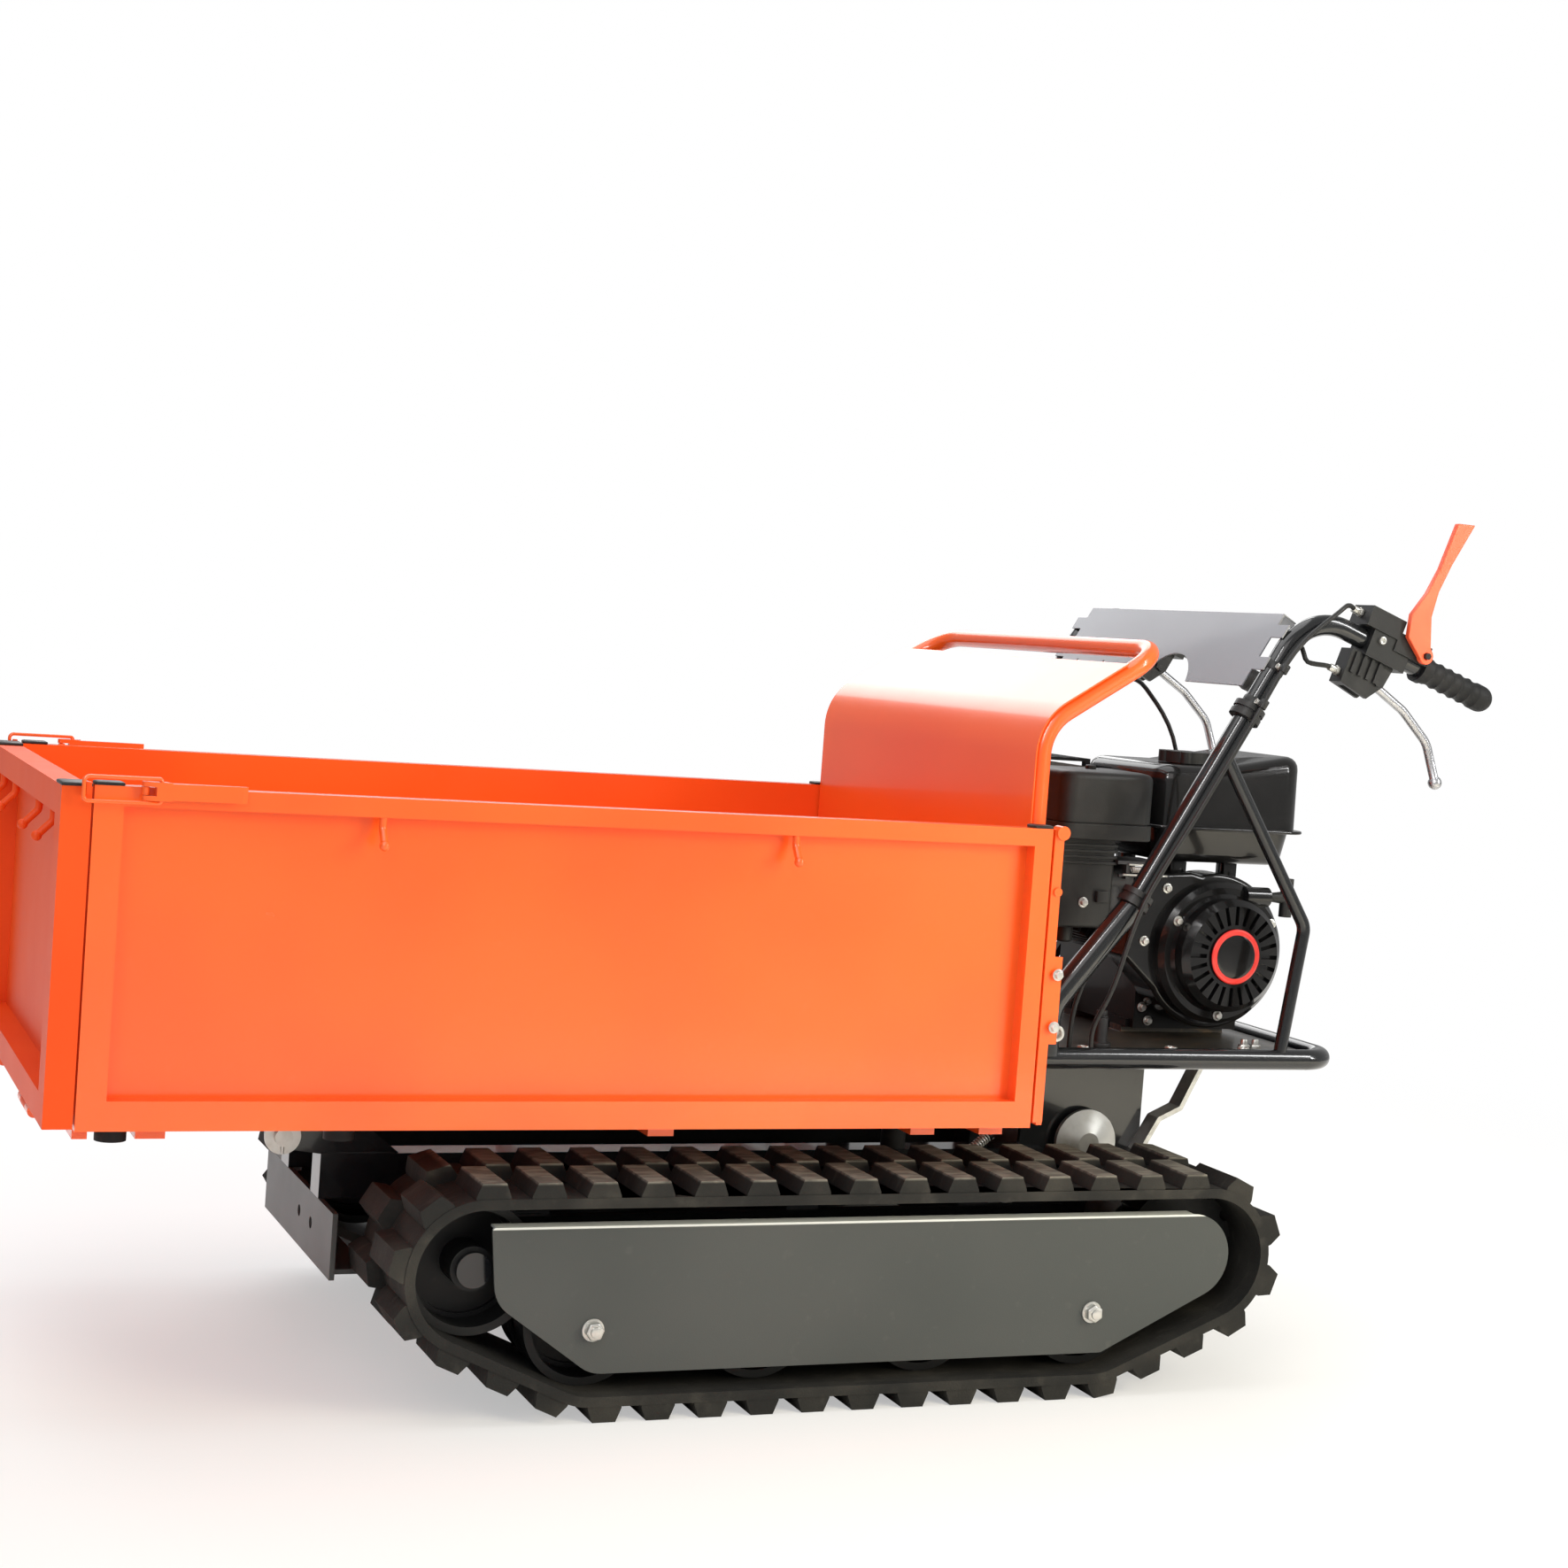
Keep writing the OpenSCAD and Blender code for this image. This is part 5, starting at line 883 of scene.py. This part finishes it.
# clips that hold the drive cable beside the left handlebar, each with a screw
clip = {"tube": 0.0136, "tubeSides": 48, "barrel": 0.0052, "barrelSides": 32, "edge": 0.0008,
        "height": 0.011, "reach": 0.0235, "web": 0.003, "webEdge": 0.0006,
        "barStart": (0.383, -0.255, 0.560), "barEnd": (0.595, -0.255, 0.925), "shares": [0.79, 0.67],
        "screw": {"radius": 0.0036, "height": 0.0045}, "screwOut": 0.0165}
clipBand = roundOver(startRod(clip["tube"], clip["height"], clip["tubeSides"]), clip["edge"])
clipBarrel = roundOver(startRod(clip["barrel"], clip["height"], clip["barrelSides"]), clip["edge"])
moveTo(clipBarrel, (-clip["reach"], 0, 0))
clipWeb = startBlock((-clip["reach"], -clip["web"], 0), (0, clip["web"], clip["height"]))
clipModel = gather("clipModel", [clipBand, clipBarrel, roundOver(clipWeb, clip["webEdge"])])
clipScrew = capScrew("clipScrew", clip["screw"])
barStart, barEnd = Vector(clip["barStart"]), Vector(clip["barEnd"])
barLine = (barEnd - barStart).normalized()
barFront = Vector((-barLine.z, 0, barLine.x))
clips = []
clipScrews = []
for share in clip["shares"]:
    clips.append(copyTo(clipModel, barStart.lerp(barEnd, share), barLine))
    screwAt = barStart.lerp(barEnd, share) + barLine * clip["height"] / 2 + barFront * clip["web"]
    clipScrews.append(copyTo(clipScrew, screwAt - Vector((0, clip["screwOut"], 0)), barFront))
dress(gather("cableClips", clips), satinBlack, "carrier")
discard(clipModel, clipScrew)

# adjusters where the cables leave the lever housings, and a screw on each housing
adjuster = {"radius": 0.0046, "height": 0.014, "sides": 24, "edge": 0.0006, "lock": 0.0062,
            "lockHeight": 0.004, "lockEdge": 0.0005, "axis": (-0.9455, 0, 0.3256),
            "spots": [(0.6446, -0.255, 0.8561), (0.6446, 0.255, 0.8561), (0.6715, -0.255, 0.9283)]}
barrel = roundOver(startRod(adjuster["radius"], adjuster["height"], adjuster["sides"]), adjuster["edge"])
lockRing = startRod(adjuster["lock"], adjuster["lockHeight"], boltShape["hexSides"])
roundOver(lockRing, adjuster["lockEdge"], boltShape["edgeSteps"], boltShape["hexAngle"])
adjusterModel = gather("adjusterModel", [barrel, lockRing])
adjusters = [copyTo(adjusterModel, place, adjuster["axis"]) for place in adjuster["spots"]]
perchScrew = {"radius": 0.0048, "height": 0.004, "x": 0.6914, "y": 0.273, "z": 0.8966}
perchModel = capScrew("perchScrew", perchScrew)
perchScrews = []
for side in (-1, 1):
    perchPlace = (perchScrew["x"], side * perchScrew["y"], perchScrew["z"])
    perchScrews.append(copyTo(perchModel, perchPlace, (0, side, 0)))
fittings = gather("controlFittings", [*clipScrews, *adjusters, *perchScrews])
dress(fittings, zincSteel, "carrier")
discard(adjusterModel, perchModel)
print("linkage and control fittings placed")

# camera at the photograph's place and angle
viewpoint = {"place": (-1.17745, -2.89018, 0.83761), "turn": (86.9191, -4.2479, -22.5567), "lens": 59.28,
             "sensor": 36.0, "farthest": 100.0}
viewTurn = [math.radians(angle) for angle in viewpoint["turn"]]
pick(frame["nodes"]["bed_tray"])
bpy.ops.object.camera_add(location=viewpoint["place"], rotation=viewTurn)
camera = bpy.context.object
camera.name = "photoCamera"
camera.data.lens = viewpoint["lens"]
camera.data.sensor_width = viewpoint["sensor"]
camera.data.sensor_fit = "HORIZONTAL"
camera.data.clip_end = viewpoint["farthest"]
bpy.context.scene.camera = camera

# floor and light; the strips show only in reflections, as bright lines along tubes and edges
plainWhite = (1.0, 1.0, 1.0)
studio = {"floorTint": (0.90, 0.90, 0.90, 1), "floorSize": 40.0, "floorDrop": 0.0005, "floorRough": 0.8,
          "floorShine": 0.1, "fadeFrom": 1.2, "fadeTo": 3.0, "lift": 0.45, "worldStrength": 0.42}
lamps = {
    "keyLamp": {"at": (-2.4, -4.4, 3.4), "aim": (-0.1, 0.0, 0.4), "size": (3.4, 3.4), "power": 62.0,
                "tint": (1.0, 0.95, 0.94), "mirrored": True, "spread": True},
    "warmLamp": {"at": (1.5, -2.1, 1.2), "aim": (0.3, 0.0, 0.4), "size": (1.4, 1.4), "power": 62.0,
                 "tint": (1.0, 0.90, 0.66), "mirrored": False, "spread": True},
    "topLamp": {"at": (-0.7, 0.2, 4.1), "aim": (0.0, 0.0, 0.0), "size": (3.6, 3.6), "power": 90.0,
                "tint": plainWhite, "mirrored": True, "spread": True},
    "backLamp": {"at": (0.9, 3.4, 3.0), "aim": (0.2, 0.0, 0.7), "size": (3.0, 3.0), "power": 78.0,
                 "tint": plainWhite, "mirrored": True, "spread": True},
    "leftStrip": {"at": (-2.4, -3.0, 2.9), "aim": (0.4, -0.1, 0.6), "size": (0.25, 2.4), "power": 70.0,
                  "tint": plainWhite, "mirrored": True, "spread": False},
    "rightStrip": {"at": (2.8, -2.4, 2.4), "aim": (0.5, -0.1, 0.6), "size": (0.25, 2.4), "power": 60.0,
                   "tint": plainWhite, "mirrored": True, "spread": False}}
bpy.ops.object.select_all(action="DESELECT")
bpy.ops.mesh.primitive_plane_add(size=studio["floorSize"], location=(0, 0, -studio["floorDrop"]))
floor = bpy.context.object
floor.name = "floor"
# the floor shades off to plain white round the machine, so its shadow stays and no edge shows
paleFloor = Finish("paleFloor")
paleFloor.surface({"Base Color": studio["floorTint"], "Roughness": studio["floorRough"],
                   "Specular IOR Level": studio["floorShine"]})
reach = paleFloor.add("ShaderNodeVectorMath", {"operation": "LENGTH"}, {0: paleFloor.place}, "Value")
seenPlain = paleFloor.add("ShaderNodeLightPath", {}, {}, "Is Camera Ray")
fade = studio["lift"] + reach.between(studio["fadeFrom"], studio["fadeTo"]) * (1 - studio["lift"])
white = paleFloor.add("ShaderNodeEmission", {}, {"Color": (*plainWhite, 1), "Strength": 1.0})
lit = Wire(paleFloor, paleFloor.shader.outputs[0])
blended = paleFloor.add("ShaderNodeMixShader", {}, {0: fade * seenPlain, 1: lit, 2: white})
paleFloor.feed(paleFloor.tree.nodes["Material Output"].inputs["Surface"], blended)
floor.data.materials.append(paleFloor.material)
floor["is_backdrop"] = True
for lampName, setting in lamps.items():
    bpy.ops.object.light_add(type="AREA", location=setting["at"])
    lamp = bpy.context.object
    lamp.name = lampName
    lamp.data.shape = "RECTANGLE"
    lamp.data.size, lamp.data.size_y = setting["size"]
    lamp.data.energy = setting["power"]
    lamp.data.color = setting["tint"]
    lamp.visible_camera = False
    lamp.visible_glossy = setting["mirrored"]
    lamp.visible_diffuse = setting["spread"]
    line = Vector(setting["aim"]) - Vector(setting["at"])
    lamp.rotation_euler = line.to_track_quat("-Z", "Y").to_euler()
world = bpy.data.worlds.new("studioWorld")
bpy.context.scene.world = world
world.use_nodes = True
sky = world.node_tree
skyLight = sky.nodes["Background"]
skyLight.inputs["Color"].default_value = (*plainWhite, 1)
skyLight.inputs["Strength"].default_value = studio["worldStrength"]
skySeen = sky.nodes.new("ShaderNodeBackground")
skySeen.inputs["Color"].default_value = (*plainWhite, 1)
skyPath = sky.nodes.new("ShaderNodeLightPath")
skyBlend = sky.nodes.new("ShaderNodeMixShader")
sky.links.new(skyPath.outputs["Is Camera Ray"], skyBlend.inputs[0])
sky.links.new(skyLight.outputs[0], skyBlend.inputs[1])
sky.links.new(skySeen.outputs[0], skyBlend.inputs[2])
sky.links.new(skyBlend.outputs[0], sky.nodes["World Output"].inputs["Surface"])
bpy.context.scene.view_settings.view_transform = "Standard"
print("studio set")

low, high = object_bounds()
